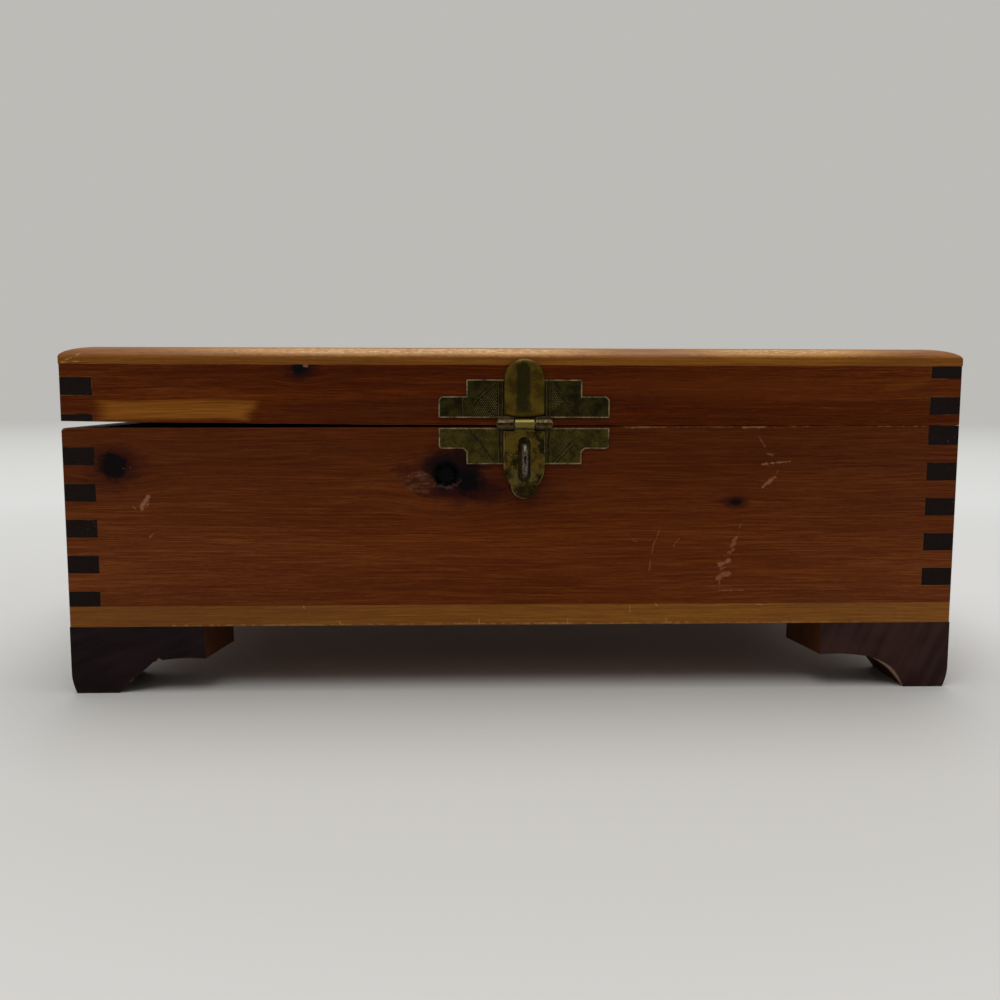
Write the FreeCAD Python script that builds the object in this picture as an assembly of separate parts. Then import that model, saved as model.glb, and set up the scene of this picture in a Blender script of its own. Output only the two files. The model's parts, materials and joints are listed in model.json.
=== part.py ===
import FreeCAD, Part
import math
import os

from FreeCAD import Vector

# A small cedar keepsake box, in millimetres.
# X runs along the front, Y from the front to the back, Z up.
# The origin is on the floor under the middle of the whole box, hardware included.

# Walls and boards
box_length = 254.0
box_depth = 152.0
wall = 9.0
wall_height = 51.0
bottom_thickness = 5.9
corner_ease = 0.6

# Finger joints. Each first share is the height of the first finger, counted from the bottom board
# for the body and from the top board for the lid.
finger_height = 5.1
left_first_share = 0.87
right_first_share = 1.0
lid_first_share = 0.7
least_finger_share = 0.3

# Seam between body and lid. The rim falls towards the left, and the lid's lower edge is bowed.
rim_fall = 0.95
left_gap = 2.0
middle_gap = 0.4
right_gap = 0.45

# Lid
rail_height = 16.9
top_thickness = 5.05
round_over_width = 10.0
round_over_height = 3.2

# Feet
foot_height = 19.3
foot_length = 38.0
foot_depth = 22.0
foot_splay = 3.0
foot_toe_inset = 1.4
foot_toe_height = 6.0
foot_leg_width = 11.5
foot_slope_length = 10.1
foot_slope_height = 9.0
foot_arch_height = 10.05
foot_tip_height = 9.5

# Brads under the bottom board and the feet. Each place is a pair of shares of the piece it is in.
brad_radius = 0.6
brad_head_radius = 1.2
brad_head_height = 0.6
brad_recess = 0.3
foot_brad_length = 13.0
bottom_brad_length = 16.0
foot_brad_place_shares = ((0.8, 0.3), (0.8, 0.7))
long_wall_brad_shares = (-0.3, 0.0, 0.3)
short_wall_brad_shares = (-0.2, 0.2)

# Hasp plates
hasp_offset = 2.0
hasp_plate_thickness = 0.6
hasp_plate_width = 48.2
hasp_step_width = 32.6
lid_plate_wing_height = 6.05
lid_plate_step_height = 4.7
body_plate_wing_height = 5.9
body_plate_step_height = 4.35
lid_plate_rise = 1.73
body_plate_drop = 1.07
tongue_width = 6.6
tongue_reach = 5.6
dome_width = 11.5
dome_height = 16.5
dome_thickness = 1.5
dome_ease_share = 0.6
groove_width = 3.9
groove_depth = 0.4
groove_margin = 1.5
prong_width = 2.4
prong_length = 4.0

# Hasp hinge and flap, measured down from the axis of the pin
hasp_axis_rise = 0.8
hasp_axis_reach = 2.1
hasp_knuckle_radius = 1.57
hasp_knuckle_length = 4.35
flap_knuckle_length = 5.6
hasp_knuckle_gap = 0.3
hasp_pin_radius = 0.7
hasp_pin_head_radius = 1.0
hasp_pin_head_height = 0.4
flap_width = 11.7
flap_thickness = 0.9
flap_stand = 1.0
flap_shoulder_drop = 1.9
flap_straight_drop = 11.05
flap_cusp_drop = 17.4
flap_tip_drop = 21.0
flap_cusp_width = 7.36
flap_bulge_share = 0.78
slot_width = 3.44
slot_top_drop = 3.6
slot_bottom_drop = 16.2

# Staple
staple_wire_radius = 1.0
staple_height = 10.4
staple_reach = 6.0
staple_bend_radius = 2.2
staple_leg_depth = 6.0
staple_middle_drop = 10.4

# Hinges at the back
hinge_spread = 150.0
hinge_length = 22.0
hinge_leaf_width = 7.5
hinge_leaf_thickness = 0.8
hinge_leaf_gap = 0.3
hinge_knuckle_radius = 1.6
hinge_middle_length = 7.4
hinge_knuckle_gap = 0.2
hinge_pin_radius = 0.8
hinge_pin_overhang = 0.4
hinge_axis_rise = 0.25
hinge_stand = 0.15
hinge_screw_spacing = 12.0
hinge_screw_radius = 0.9
hinge_screw_head_radius = 1.7
hinge_screw_length = 7.0
hinge_screw_slot = 0.4

# Clearances: around fasteners in their holes, around turning pins, and past the end of a cut
fit_clearance = 0.05
pin_clearance = 0.04
overrun = 2.0

# Share of a quarter ellipse's radius at which its two control points lie
quarter_round_share = 0.5523

# Places that follow from the sizes
hinge_reach = hinge_stand + 2 * hinge_knuckle_radius
overall_depth = staple_reach + box_depth + hinge_reach
front = staple_reach - overall_depth / 2
back = front + box_depth
left = -box_length / 2
right = box_length / 2
floor_of_walls = foot_height + bottom_thickness
rim = floor_of_walls + wall_height
lid_joint = rim + middle_gap + rail_height
lid_top = lid_joint + top_thickness
rim_left = rim - rim_fall / 2
rim_right = rim + rim_fall / 2
hasp_axis_y = front - hasp_axis_reach
hasp_axis_z = rim + hasp_axis_rise
lid_plate_start = hasp_axis_z + lid_plate_rise
body_plate_start = hasp_axis_z - body_plate_drop
hinge_axis_y = back + hinge_stand + hinge_knuckle_radius
hinge_axis_z = rim + hinge_axis_rise
hinge_centres = {"left": -hinge_spread / 2, "right": hinge_spread / 2}


def block(x0, x1, y0, y1, z0, z1):
    """A box between two corners."""
    return Part.makeBox(x1 - x0, y1 - y0, z1 - z0, Vector(x0, y0, z0))


def line(start, end):
    """A straight edge."""
    return Part.LineSegment(start, end).toShape()


def arc(start, middle, end):
    """A round edge through three points."""
    return Part.Arc(start, middle, end).toShape()


def bend(*poles):
    """A smooth edge that starts and ends along its outer control points."""
    curve = Part.BezierCurve()
    curve.setPoles(list(poles))
    return curve.toShape()


def prism(edges, along):
    """A solid made by pushing a closed outline along a vector."""
    return Part.Face(Part.Wire(edges)).extrude(along)


def polygon_prism(points, along):
    """A solid made by pushing a closed polygon along a vector."""
    return Part.Face(Part.makePolygon(points + points[:1])).extrude(along)


def rod(radius, start, end):
    """A round bar between two points."""
    axis = end - start
    return Part.makeCylinder(radius, axis.Length, start, axis)


def fuse(shapes):
    """Several touching solids joined into one."""
    return shapes[0].multiFuse(shapes[1:]).removeSplitter()


def eased_block(low, high):
    """A block of the box's plan between two levels, with its upright edges rounded."""
    plan = block(left, right, front, back, low, high)
    upright = [edge for edge in plan.Edges if edge.BoundBox.ZLength > corner_ease]
    return plan.makeFillet(corner_ease, upright)


def finger_bands(start, end, first_share):
    """Levels of the fingers from start to a seam near end, as pairs, the last one past the seam.

    A rest thinner than the least share of a finger joins the finger before it.
    """
    step = math.copysign(finger_height, end - start)
    levels = [start, start + first_share * step]
    while abs(end - levels[-1]) > finger_height * (1 + least_finger_share):
        levels.append(levels[-1] + step)
    levels.append(end + math.copysign(overrun, step))
    return [sorted(pair) for pair in zip(levels, levels[1:])]


def jointed_frame(left_bands, right_bands, left_end_first):
    """Four boards with finger joints at their corners: front, back, left end and right end.

    The bands of a corner belong in turn to the end board and to the long board. The end board has
    the first band on the left if left_end_first is true, and then the long board has it on the right.
    """
    low = min(left_bands[0] + left_bands[-1])
    high = max(left_bands[0] + left_bands[-1])
    columns = (
        ("left", left, left + wall, left_bands, left_end_first),
        ("right", right - wall, right, right_bands, not left_end_first),
    )
    faces = (("front", front, front + wall), ("back", back - wall, back))
    notches = {"front": [], "back": [], "left": [], "right": []}
    for end, x0, x1, bands, end_has_band in columns:
        for z0, z1 in bands:
            for face, y0, y1 in faces:
                notches[face if end_has_band else end].append(block(x0, x1, y0, y1, z0, z1))
            end_has_band = not end_has_band
    slabs = {face: block(left, right, y0, y1, low, high) for face, y0, y1 in faces}
    slabs.update({end: block(x0, x1, front, back, low, high) for end, x0, x1, _, _ in columns})
    plan = eased_block(low, high)
    return {name: slab.cut(notches[name]).common(plan) for name, slab in slabs.items()}


def above_rim():
    """Everything above the body's sloping rim."""
    reach = overrun / box_length * rim_fall
    points = [
        Vector(left - overrun, front - overrun, rim_left - reach),
        Vector(right + overrun, front - overrun, rim_right + reach),
        Vector(right + overrun, front - overrun, lid_top),
        Vector(left - overrun, front - overrun, lid_top),
    ]
    return polygon_prism(points, Vector(0, box_depth + 2 * overrun, 0))


def below_lid():
    """Everything below the bowed lower edge of the lid."""
    y = front - overrun
    low_left = Vector(left - overrun, y, rim_left + left_gap)
    low_middle = Vector(0, y, rim + middle_gap)
    low_right = Vector(right + overrun, y, rim_right + right_gap)
    corner_left = Vector(low_left.x, y, floor_of_walls)
    corner_right = Vector(low_right.x, y, floor_of_walls)
    edges = [
        arc(low_left, low_middle, low_right),
        line(low_right, corner_right),
        line(corner_right, corner_left),
        line(corner_left, low_left),
    ]
    return prism(edges, Vector(0, box_depth + 2 * overrun, 0))


def round_topped_section(low, high, place):
    """Edges of the top board's section from low to high, turned into space by place(across, up)."""
    land = lid_top - round_over_height
    width = round_over_width
    pull_across = width * (1 - quarter_round_share)
    pull_up = lid_top - round_over_height * (1 - quarter_round_share)
    corners = [place(low, lid_joint), place(low, land), place(low + width, lid_top)]
    corners += [place(high - width, lid_top), place(high, land), place(high, lid_joint)]
    return [
        line(corners[0], corners[1]),
        bend(corners[1], place(low, pull_up), place(low + pull_across, lid_top), corners[2]),
        line(corners[2], corners[3]),
        bend(corners[3], place(high - pull_across, lid_top), place(high, pull_up), corners[4]),
        line(corners[4], corners[5]),
        line(corners[5], corners[0]),
    ]


def make_top_board():
    """Top board with its upper edges rounded over on all four sides."""
    along = round_topped_section(left, right, lambda across, up: Vector(across, front, up))
    across = round_topped_section(front, back, lambda across, up: Vector(left, across, up))
    long_solid = prism(along, Vector(0, box_depth, 0))
    return long_solid.common(prism(across, Vector(box_length, 0, 0)))


def make_foot():
    """Front left foot: the side profile pushed back, with its inner end splayed."""
    reach = foot_length + foot_splay
    leg_end = foot_toe_inset + foot_leg_width
    slope_end = leg_end + foot_slope_length

    def at(across, up):
        return Vector(left + across, front, up)

    toe_pull = at(0, foot_toe_height / 2)
    arch_middle = at((slope_end + reach) / 2, foot_arch_height)
    edges = [
        line(at(0, foot_height), at(0, foot_toe_height)),
        bend(at(0, foot_toe_height), toe_pull, at(foot_toe_inset, 0)),
        line(at(foot_toe_inset, 0), at(leg_end, 0)),
        line(at(leg_end, 0), at(slope_end, foot_slope_height)),
        arc(at(slope_end, foot_slope_height), arch_middle, at(reach, foot_tip_height)),
        line(at(reach, foot_tip_height), at(reach, foot_height)),
        line(at(reach, foot_height), at(0, foot_height)),
    ]
    foot = prism(edges, Vector(0, foot_depth, 0))
    slant = foot_splay / foot_depth * overrun
    end = [
        Vector(left + foot_length - slant, front - overrun, 0),
        Vector(left + reach + overrun, front - overrun, 0),
        Vector(left + reach + overrun, front + foot_depth + overrun, 0),
        Vector(left + reach + slant, front + foot_depth + overrun, 0),
    ]
    return foot.cut(polygon_prism(end, Vector(0, 0, foot_height + overrun)))


def brad(foot_of_head, length, clearance, recess):
    """A wire brad that points up, or its hole when it has a clearance and a recess below."""
    head_top = foot_of_head + Vector(0, 0, brad_head_height + clearance)
    tip = foot_of_head + Vector(0, 0, length + clearance)
    head = rod(brad_head_radius + clearance, foot_of_head - Vector(0, 0, recess), head_top)
    return head.fuse(rod(brad_radius + clearance, foot_of_head, tip)).removeSplitter()


def foot_brad_places():
    """Where the brads of the front left foot start, just inside its arch."""
    up = foot_arch_height + brad_recess
    return [
        Vector(left + across * foot_length, front + deep * foot_depth, up)
        for across, deep in foot_brad_place_shares
    ]


def bottom_brad_places():
    """Where the brads of the bottom board start, under the middle of each wall."""
    up = foot_height + brad_recess
    middle = (front + back) / 2
    places = []
    for share in long_wall_brad_shares:
        for y in (front + wall / 2, back - wall / 2):
            places.append(Vector(share * box_length, y, up))
    for share in short_wall_brad_shares:
        for x in (left + wall / 2, right - wall / 2):
            places.append(Vector(x, middle + share * box_depth, up))
    return places


def four_corners(shape):
    """A shape of the front left corner, and its mirror images at the other three corners."""
    middle = Vector(0, (front + back) / 2, 0)
    front_right = shape.mirror(middle, Vector(1, 0, 0))
    return {
        "front_left": shape,
        "front_right": front_right,
        "back_left": shape.mirror(middle, Vector(0, 1, 0)),
        "back_right": front_right.mirror(middle, Vector(0, 1, 0)),
    }


def stepped_plate(start, wing_height, step_height, up):
    """Hasp plate on the front face: wide wings at start, and a narrower step beyond them."""
    wing_end = start + up * wing_height
    step_end = wing_end + up * step_height
    surface = front - hasp_plate_thickness
    pieces = []
    for width, level in ((hasp_plate_width, wing_end), (hasp_step_width, step_end)):
        low, high = sorted((start, level))
        pieces.append(block(hasp_offset - width / 2, hasp_offset + width / 2, surface, front, low, high))
    return fuse(pieces)


def prong_places(start, wing_height, step_height, up):
    """Width between the outer sides and middle height of each pair of prongs bent back from a plate."""
    wing_middle = start + up * wing_height / 2
    step_middle = start + up * (wing_height + step_height / 2)
    return [(hasp_plate_width, wing_middle), (hasp_step_width, step_middle)]


def lid_prong_places():
    """Prongs of the lid's plate."""
    return prong_places(lid_plate_start, lid_plate_wing_height, lid_plate_step_height, 1)


def body_prong_places():
    """Prongs of the body's plate."""
    return prong_places(body_plate_start, body_plate_wing_height, body_plate_step_height, -1)


def prongs(places, clearance):
    """Pointed prongs at both ends of a plate, or their pockets when they have a clearance."""
    half = prong_width / 2 + clearance
    surface = front - hasp_plate_thickness
    shapes = []
    for width, middle in places:
        for side in (-1, 1):
            outer = hasp_offset + side * (width / 2 + clearance)
            thickness = hasp_plate_thickness + 2 * clearance
            points = [
                Vector(outer, surface, middle - half),
                Vector(outer, front, middle - half),
                Vector(outer, front + prong_length + clearance, middle),
                Vector(outer, front, middle + half),
                Vector(outer, surface, middle + half),
            ]
            shapes.append(polygon_prism(points, Vector(-side * thickness, 0, 0)))
    return shapes


def upright_slot(width, low, high, y0, y1):
    """A slot with round ends on the middle of the hasp, through from y0 to y1."""
    radius = width / 2
    low_centre = Vector(hasp_offset, y0, low + radius)
    high_centre = Vector(hasp_offset, y0, high - radius)
    through = Vector(0, y1 - y0, 0)
    middle = block(hasp_offset - radius, hasp_offset + radius, y0, y1, low_centre.z, high_centre.z)
    ends = [rod(radius, centre, centre + through) for centre in (low_centre, high_centre)]
    return fuse([middle] + ends)


def make_dome(low):
    """Round-topped raised middle of the lid's plate, with a shallow upright groove."""
    half = dome_width / 2
    top = low + dome_height
    shoulder = top - half

    def at(across, up):
        return Vector(hasp_offset + across, front, up)

    edges = [
        line(at(-half, low), at(half, low)),
        line(at(half, low), at(half, shoulder)),
        arc(at(half, shoulder), at(0, top), at(-half, shoulder)),
        line(at(-half, shoulder), at(-half, low)),
    ]
    dome = prism(edges, Vector(0, -dome_thickness, 0))
    face = front - dome_thickness
    outer_edges = [edge for edge in dome.Edges if edge.BoundBox.YMax < (front + face) / 2]
    dome = dome.makeFillet(dome_thickness * dome_ease_share, outer_edges)
    groove_levels = (low + groove_margin, top - groove_margin)
    return dome.cut(upright_slot(groove_width, *groove_levels, face - overrun, face + groove_depth))


def hasp_rod(radius, x0, x1):
    """A round bar on the axis of the hasp's pin."""
    axis = Vector(hasp_offset, hasp_axis_y, hasp_axis_z)
    return rod(radius, axis + Vector(x0, 0, 0), axis + Vector(x1, 0, 0))


def make_lid_plate():
    """Lid's hasp plate: wings, step, raised middle, two outer knuckles and prongs."""
    plate = stepped_plate(lid_plate_start, lid_plate_wing_height, lid_plate_step_height, 1)
    pieces = [plate, make_dome(lid_plate_start)]
    strap_top = lid_plate_start + hasp_plate_thickness
    inner = flap_knuckle_length / 2 + hasp_knuckle_gap
    outer = inner + hasp_knuckle_length
    for x0, x1 in ((-outer, -inner), (inner, outer)):
        pieces.append(hasp_rod(hasp_knuckle_radius, x0, x1))
        strap_x = (hasp_offset + x0, hasp_offset + x1)
        pieces.append(block(*strap_x, front - dome_thickness, front, hasp_axis_z, strap_top))
    bore = hasp_rod(hasp_pin_radius + pin_clearance, -outer - overrun, outer + overrun)
    return fuse(pieces + prongs(lid_prong_places(), 0)).cut(bore)


def make_hasp_pin():
    """Pin of the hasp with a small round head at each end."""
    outer = flap_knuckle_length / 2 + hasp_knuckle_gap + hasp_knuckle_length + pin_clearance
    end = outer + hasp_pin_head_height
    pieces = [hasp_rod(hasp_pin_radius, -end, end)]
    pieces += [hasp_rod(hasp_pin_head_radius, x0, x1) for x0, x1 in ((-end, -outer), (outer, end))]
    return fuse(pieces)


def flap_outline():
    """Outline of the flap: straight sides, drawn-in shoulders and a small round lobe."""
    half = flap_width / 2
    cusp = flap_cusp_width / 2
    bulge = cusp + (half - cusp) * flap_bulge_share
    bulge_drop = (flap_straight_drop + flap_cusp_drop) / 2

    def at(across, drop):
        return Vector(hasp_offset + across, front - flap_stand, hasp_axis_z - drop)

    return [
        line(at(-half, flap_shoulder_drop), at(half, flap_shoulder_drop)),
        line(at(half, flap_shoulder_drop), at(half, flap_straight_drop)),
        arc(at(half, flap_straight_drop), at(bulge, bulge_drop), at(cusp, flap_cusp_drop)),
        arc(at(cusp, flap_cusp_drop), at(0, flap_tip_drop), at(-cusp, flap_cusp_drop)),
        arc(at(-cusp, flap_cusp_drop), at(-bulge, bulge_drop), at(-half, flap_straight_drop)),
        line(at(-half, flap_straight_drop), at(-half, flap_shoulder_drop)),
    ]


def make_flap():
    """Slotted flap with its middle knuckle."""
    half = flap_knuckle_length / 2
    inner = front - flap_stand
    outer = inner - flap_thickness
    plate = prism(flap_outline(), Vector(0, -flap_thickness, 0))
    neck_low = hasp_axis_z - flap_shoulder_drop - flap_thickness
    neck = block(hasp_offset - half, hasp_offset + half, outer, inner, neck_low, hasp_axis_z)
    flap = fuse([plate, neck, hasp_rod(hasp_knuckle_radius, -half, half)])
    slot_low = hasp_axis_z - slot_bottom_drop
    slot_high = hasp_axis_z - slot_top_drop
    slot = upright_slot(slot_width, slot_low, slot_high, outer - overrun, front)
    bore = hasp_rod(hasp_pin_radius + pin_clearance, -half - overrun, half + overrun)
    return flap.cut(slot).cut(bore)


def make_body_plate():
    """Body's hasp plate: wings, step, a tongue behind the flap and prongs."""
    step_end = body_plate_start - body_plate_wing_height - body_plate_step_height
    radius = tongue_width / 2
    low = step_end - tongue_reach
    tongue = upright_slot(tongue_width, low, step_end + radius, front - hasp_plate_thickness, front)
    plate = stepped_plate(body_plate_start, body_plate_wing_height, body_plate_step_height, -1)
    return fuse([plate, tongue] + prongs(body_prong_places(), 0)).cut(staple_holes())


def staple_leg_heights():
    """Heights of the two legs of the staple."""
    middle = hasp_axis_z - staple_middle_drop
    offset = staple_height / 2 - staple_wire_radius
    return (middle - offset, middle + offset)


def make_staple():
    """Round wire bent into a loop that stands out of the front, with both legs in the wood."""
    low, high = staple_leg_heights()
    crown = front - staple_reach + staple_wire_radius
    radius = staple_bend_radius
    near = radius * (1 - math.sqrt(0.5))

    def at(y, z):
        return Vector(hasp_offset, y, z)

    end = front + staple_leg_depth
    path = Part.Wire([
        line(at(end, low), at(crown + radius, low)),
        arc(at(crown + radius, low), at(crown + near, low + near), at(crown, low + radius)),
        line(at(crown, low + radius), at(crown, high - radius)),
        arc(at(crown, high - radius), at(crown + near, high - near), at(crown + radius, high)),
        line(at(crown + radius, high), at(end, high)),
    ])
    section = Part.Wire(Part.Circle(at(end, low), Vector(0, -1, 0), staple_wire_radius).toShape())
    return path.makePipeShell([section], True, True)


def staple_holes():
    """Holes for the legs of the staple in the plate and the front board."""
    radius = staple_wire_radius + fit_clearance
    start = front - hasp_plate_thickness - overrun
    end = front + staple_leg_depth + fit_clearance
    return [
        rod(radius, Vector(hasp_offset, start, z), Vector(hasp_offset, end, z))
        for z in staple_leg_heights()
    ]


def hinge_rod(radius, x0, x1):
    """A round bar on the axis of the back hinges."""
    return rod(radius, Vector(x0, hinge_axis_y, hinge_axis_z), Vector(x1, hinge_axis_y, hinge_axis_z))


def leaf_levels(up):
    """Inner face and seat of a leaf: the lid's leaf lies above the axis, the body's below it."""
    inner = hinge_axis_z + up * hinge_leaf_gap / 2
    return inner, inner + up * hinge_leaf_thickness


def hinge_screw(x, up, clearance):
    """A countersunk screw in a leaf, or its hole when it has a clearance."""
    inner, seat = leaf_levels(up)
    y = back - hinge_leaf_width / 2
    point = Vector(x, y, inner + up * (hinge_screw_length + clearance))
    grown = hinge_screw_radius + clearance
    head = Part.makeCone(hinge_screw_head_radius + clearance, grown, hinge_leaf_thickness,
                         Vector(x, y, inner), Vector(0, 0, up))
    return head.fuse(rod(grown, Vector(x, y, seat), point)).removeSplitter()


def screw_places():
    """X of every screw along the back."""
    offsets = (-hinge_screw_spacing / 2, hinge_screw_spacing / 2)
    return [centre + offset for centre in hinge_centres.values() for offset in offsets]


def slotted_screw(x, up):
    """A hinge screw with a driver slot across its head."""
    inner, seat = leaf_levels(up)
    y = back - hinge_leaf_width / 2
    reach = hinge_screw_head_radius + overrun
    half = hinge_screw_slot / 2
    low, high = sorted((inner - up * overrun, inner + up * hinge_screw_slot))
    return hinge_screw(x, up, 0).cut(block(x - reach, x + reach, y - half, y + half, low, high))


def make_leaf(centre, up):
    """Hinge leaf with its knuckles: two outer ones on the body, the middle one on the lid."""
    inner, seat = leaf_levels(up)
    low, high = sorted((inner, seat))
    half = hinge_length / 2
    middle = hinge_middle_length / 2
    beside = middle + hinge_knuckle_gap
    spans = [(-middle, middle)] if up > 0 else [(-half, -beside), (beside, half)]
    pieces = [block(centre - half, centre + half, back - hinge_leaf_width, back, low, high)]
    for x0, x1 in spans:
        pieces.append(hinge_rod(hinge_knuckle_radius, centre + x0, centre + x1))
        pieces.append(block(centre + x0, centre + x1, back - hinge_leaf_width, hinge_axis_y, low, high))
    leaf = fuse(pieces)
    bore = hinge_rod(hinge_pin_radius + pin_clearance, centre - half - overrun, centre + half + overrun)
    holes = [hinge_screw(x, up, fit_clearance) for x in screw_places() if abs(x - centre) < half]
    return leaf.cut([bore] + holes)


def make_hinge_pin(centre):
    """Plain pin that stands a little out of both ends of a hinge."""
    half = hinge_length / 2 + hinge_pin_overhang
    return hinge_rod(hinge_pin_radius, centre - half, centre + half)


def leaf_mortises(up):
    """Shallow beds for the leaves in the body's rim or in the lid's lower edge."""
    inner, seat = leaf_levels(up)
    low, high = sorted((seat, seat - up * (rim_fall + left_gap + overrun)))
    half = hinge_length / 2 + fit_clearance
    y0 = back - hinge_leaf_width - fit_clearance
    centres = hinge_centres.values()
    return [block(centre - half, centre + half, y0, back + overrun, low, high) for centre in centres]


def screw_holes(up):
    """Holes for all hinge screws of the body or of the lid."""
    return [hinge_screw(x, up, fit_clearance) for x in screw_places()]


def make_body():
    """The wooden body: walls, bottom board, feet and brads."""
    left_bands = finger_bands(floor_of_walls, rim, left_first_share)
    right_bands = finger_bands(floor_of_walls, rim, right_first_share)
    walls = jointed_frame(left_bands, right_bands, True)
    foot_places = foot_brad_places()
    bottom_places = bottom_brad_places()
    bottom_holes = [brad(place, bottom_brad_length, fit_clearance, overrun) for place in bottom_places]
    one_foot_holes = [brad(place, foot_brad_length, fit_clearance, foot_height) for place in foot_places]
    one_foot_brads = [brad(place, foot_brad_length, 0, 0) for place in foot_places]
    foot_holes = four_corners(Part.makeCompound(one_foot_holes))
    foot_brads = four_corners(Part.makeCompound(one_foot_brads))
    cutters = [above_rim()] + bottom_holes
    hasp_holes = prongs(body_prong_places(), fit_clearance) + staple_holes()
    bottom = eased_block(foot_height, floor_of_walls)
    nodes = {
        "front_board": walls["front"].cut(cutters + hasp_holes),
        "back_board": walls["back"].cut(cutters + leaf_mortises(-1) + screw_holes(-1)),
        "left_end_board": walls["left"].cut(cutters),
        "right_end_board": walls["right"].cut(cutters),
        "bottom_board": bottom.cut(bottom_holes + list(foot_holes.values())),
        "foot_brads": Part.makeCompound(list(foot_brads.values())),
        "bottom_brads": Part.makeCompound([brad(place, bottom_brad_length, 0, 0) for place in bottom_places]),
    }
    for corner, foot in four_corners(make_foot()).items():
        nodes[corner + "_foot"] = foot.cut(foot_holes[corner])
    return nodes


def make_lid():
    """The wooden lid: four rails and the top board."""
    bands = finger_bands(lid_joint, rim + middle_gap, lid_first_share)
    rails = jointed_frame(bands, bands, False)
    cutters = [below_lid()]
    return {
        "lid_front_rail": rails["front"].cut(cutters + prongs(lid_prong_places(), fit_clearance)),
        "lid_back_rail": rails["back"].cut(cutters + leaf_mortises(1) + screw_holes(1)),
        "lid_left_rail": rails["left"].cut(cutters),
        "lid_right_rail": rails["right"].cut(cutters),
        "lid_top_board": make_top_board(),
    }


def make_hasp():
    """The hasp: two plates, pin, flap and staple."""
    return {
        "hasp_lid_plate": make_lid_plate(),
        "hasp_pin": make_hasp_pin(),
        "hasp_flap": make_flap(),
        "hasp_body_plate": make_body_plate(),
        "hasp_staple": make_staple(),
    }


def make_hinges():
    """Both back hinges and their screws."""
    nodes = {}
    for side, centre in hinge_centres.items():
        nodes[side + "_hinge_body_leaf"] = make_leaf(centre, -1)
        nodes[side + "_hinge_lid_leaf"] = make_leaf(centre, 1)
        nodes[side + "_hinge_pin"] = make_hinge_pin(centre)
    for name, up in (("body_hinge_screws", -1), ("lid_hinge_screws", 1)):
        nodes[name] = Part.makeCompound([slotted_screw(x, up) for x in screw_places()])
    return nodes


nodes = {**make_body(), **make_lid(), **make_hasp(), **make_hinges()}
os.makedirs("parts", exist_ok=True)
for name, shape in nodes.items():
    shape.exportStep(os.path.join("parts", name + ".step"))
    print(f"{name}: {len(shape.Solids)} solids, {shape.Volume:.1f} cubic mm, valid {shape.isValid()}")
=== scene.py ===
import json
from math import cos, hypot, pi, radians, sin

import bmesh
import bpy
from mathutils import Matrix, Vector, noise
from mathutils.geometry import intersect_point_tri_2d

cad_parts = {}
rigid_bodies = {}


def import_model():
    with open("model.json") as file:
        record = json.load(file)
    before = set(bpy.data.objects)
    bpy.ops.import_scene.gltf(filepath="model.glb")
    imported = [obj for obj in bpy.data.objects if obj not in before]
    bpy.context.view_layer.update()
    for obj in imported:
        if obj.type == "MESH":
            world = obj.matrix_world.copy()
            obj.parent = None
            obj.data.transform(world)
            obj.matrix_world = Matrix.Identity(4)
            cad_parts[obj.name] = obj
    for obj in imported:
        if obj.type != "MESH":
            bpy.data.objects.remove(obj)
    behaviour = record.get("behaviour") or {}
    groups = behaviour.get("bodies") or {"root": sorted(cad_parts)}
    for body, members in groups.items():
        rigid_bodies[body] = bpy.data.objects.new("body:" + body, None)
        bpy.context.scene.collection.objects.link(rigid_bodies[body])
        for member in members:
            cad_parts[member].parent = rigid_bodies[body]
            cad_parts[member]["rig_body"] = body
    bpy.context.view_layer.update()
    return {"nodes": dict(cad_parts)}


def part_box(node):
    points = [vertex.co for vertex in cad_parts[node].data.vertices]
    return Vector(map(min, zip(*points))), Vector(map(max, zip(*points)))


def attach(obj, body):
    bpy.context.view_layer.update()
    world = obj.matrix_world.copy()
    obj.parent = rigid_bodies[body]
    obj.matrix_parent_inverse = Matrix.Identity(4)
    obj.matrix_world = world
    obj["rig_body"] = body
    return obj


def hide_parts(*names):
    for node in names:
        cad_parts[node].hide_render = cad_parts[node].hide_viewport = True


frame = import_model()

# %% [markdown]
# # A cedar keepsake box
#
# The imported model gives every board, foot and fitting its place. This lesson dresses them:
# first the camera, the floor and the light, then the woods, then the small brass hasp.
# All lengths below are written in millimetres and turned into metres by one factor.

MM = 0.001
nodes = frame["nodes"]
scene = bpy.context.scene
scene.view_settings.view_transform = "Standard"
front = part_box("front_board")[0].y / MM
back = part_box("back_board")[1].y / MM
WALL, INNER_HALF, WALL_FOOT, LID_JOINT = 9.0, 118.0, 25.2, 93.5
print("nodes:", len(nodes), "front face at", round(front, 3), "mm, back at", round(back, 3), "mm")

# %% [markdown]
# ## Camera
#
# The photograph was taken from close by, a little left of the middle and about as high as the lid.
# The place and the three angles come from matching the corners of the front with their pixels,
# so the camera is set up from its own right, up and forward directions and not by aiming at a point.

# %% Camera
yaw, pitch, roll_angle = 0.0343945, 0.109449, 0.0020424
forward = Vector((sin(yaw) * cos(pitch), cos(yaw) * cos(pitch), -sin(pitch)))
level = Vector((cos(yaw), -sin(yaw), 0))
upright = level.cross(forward)
across = cos(roll_angle) * level + sin(roll_angle) * upright
up = cos(roll_angle) * upright - sin(roll_angle) * level
eye = Matrix((across, up, -forward)).transposed().to_4x4()
eye.translation = Vector((-14.49, -357.09, 86.5)) * MM
camera = bpy.data.objects.new("camera", bpy.data.cameras.new("camera"))
camera.data.sensor_width = 36
camera.data.lens = 36
camera.data.clip_start = 0.01
camera.matrix_world = eye
scene.collection.objects.link(camera)
scene.camera = camera
print("camera at", [round(v, 4) for v in eye.translation])

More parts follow.
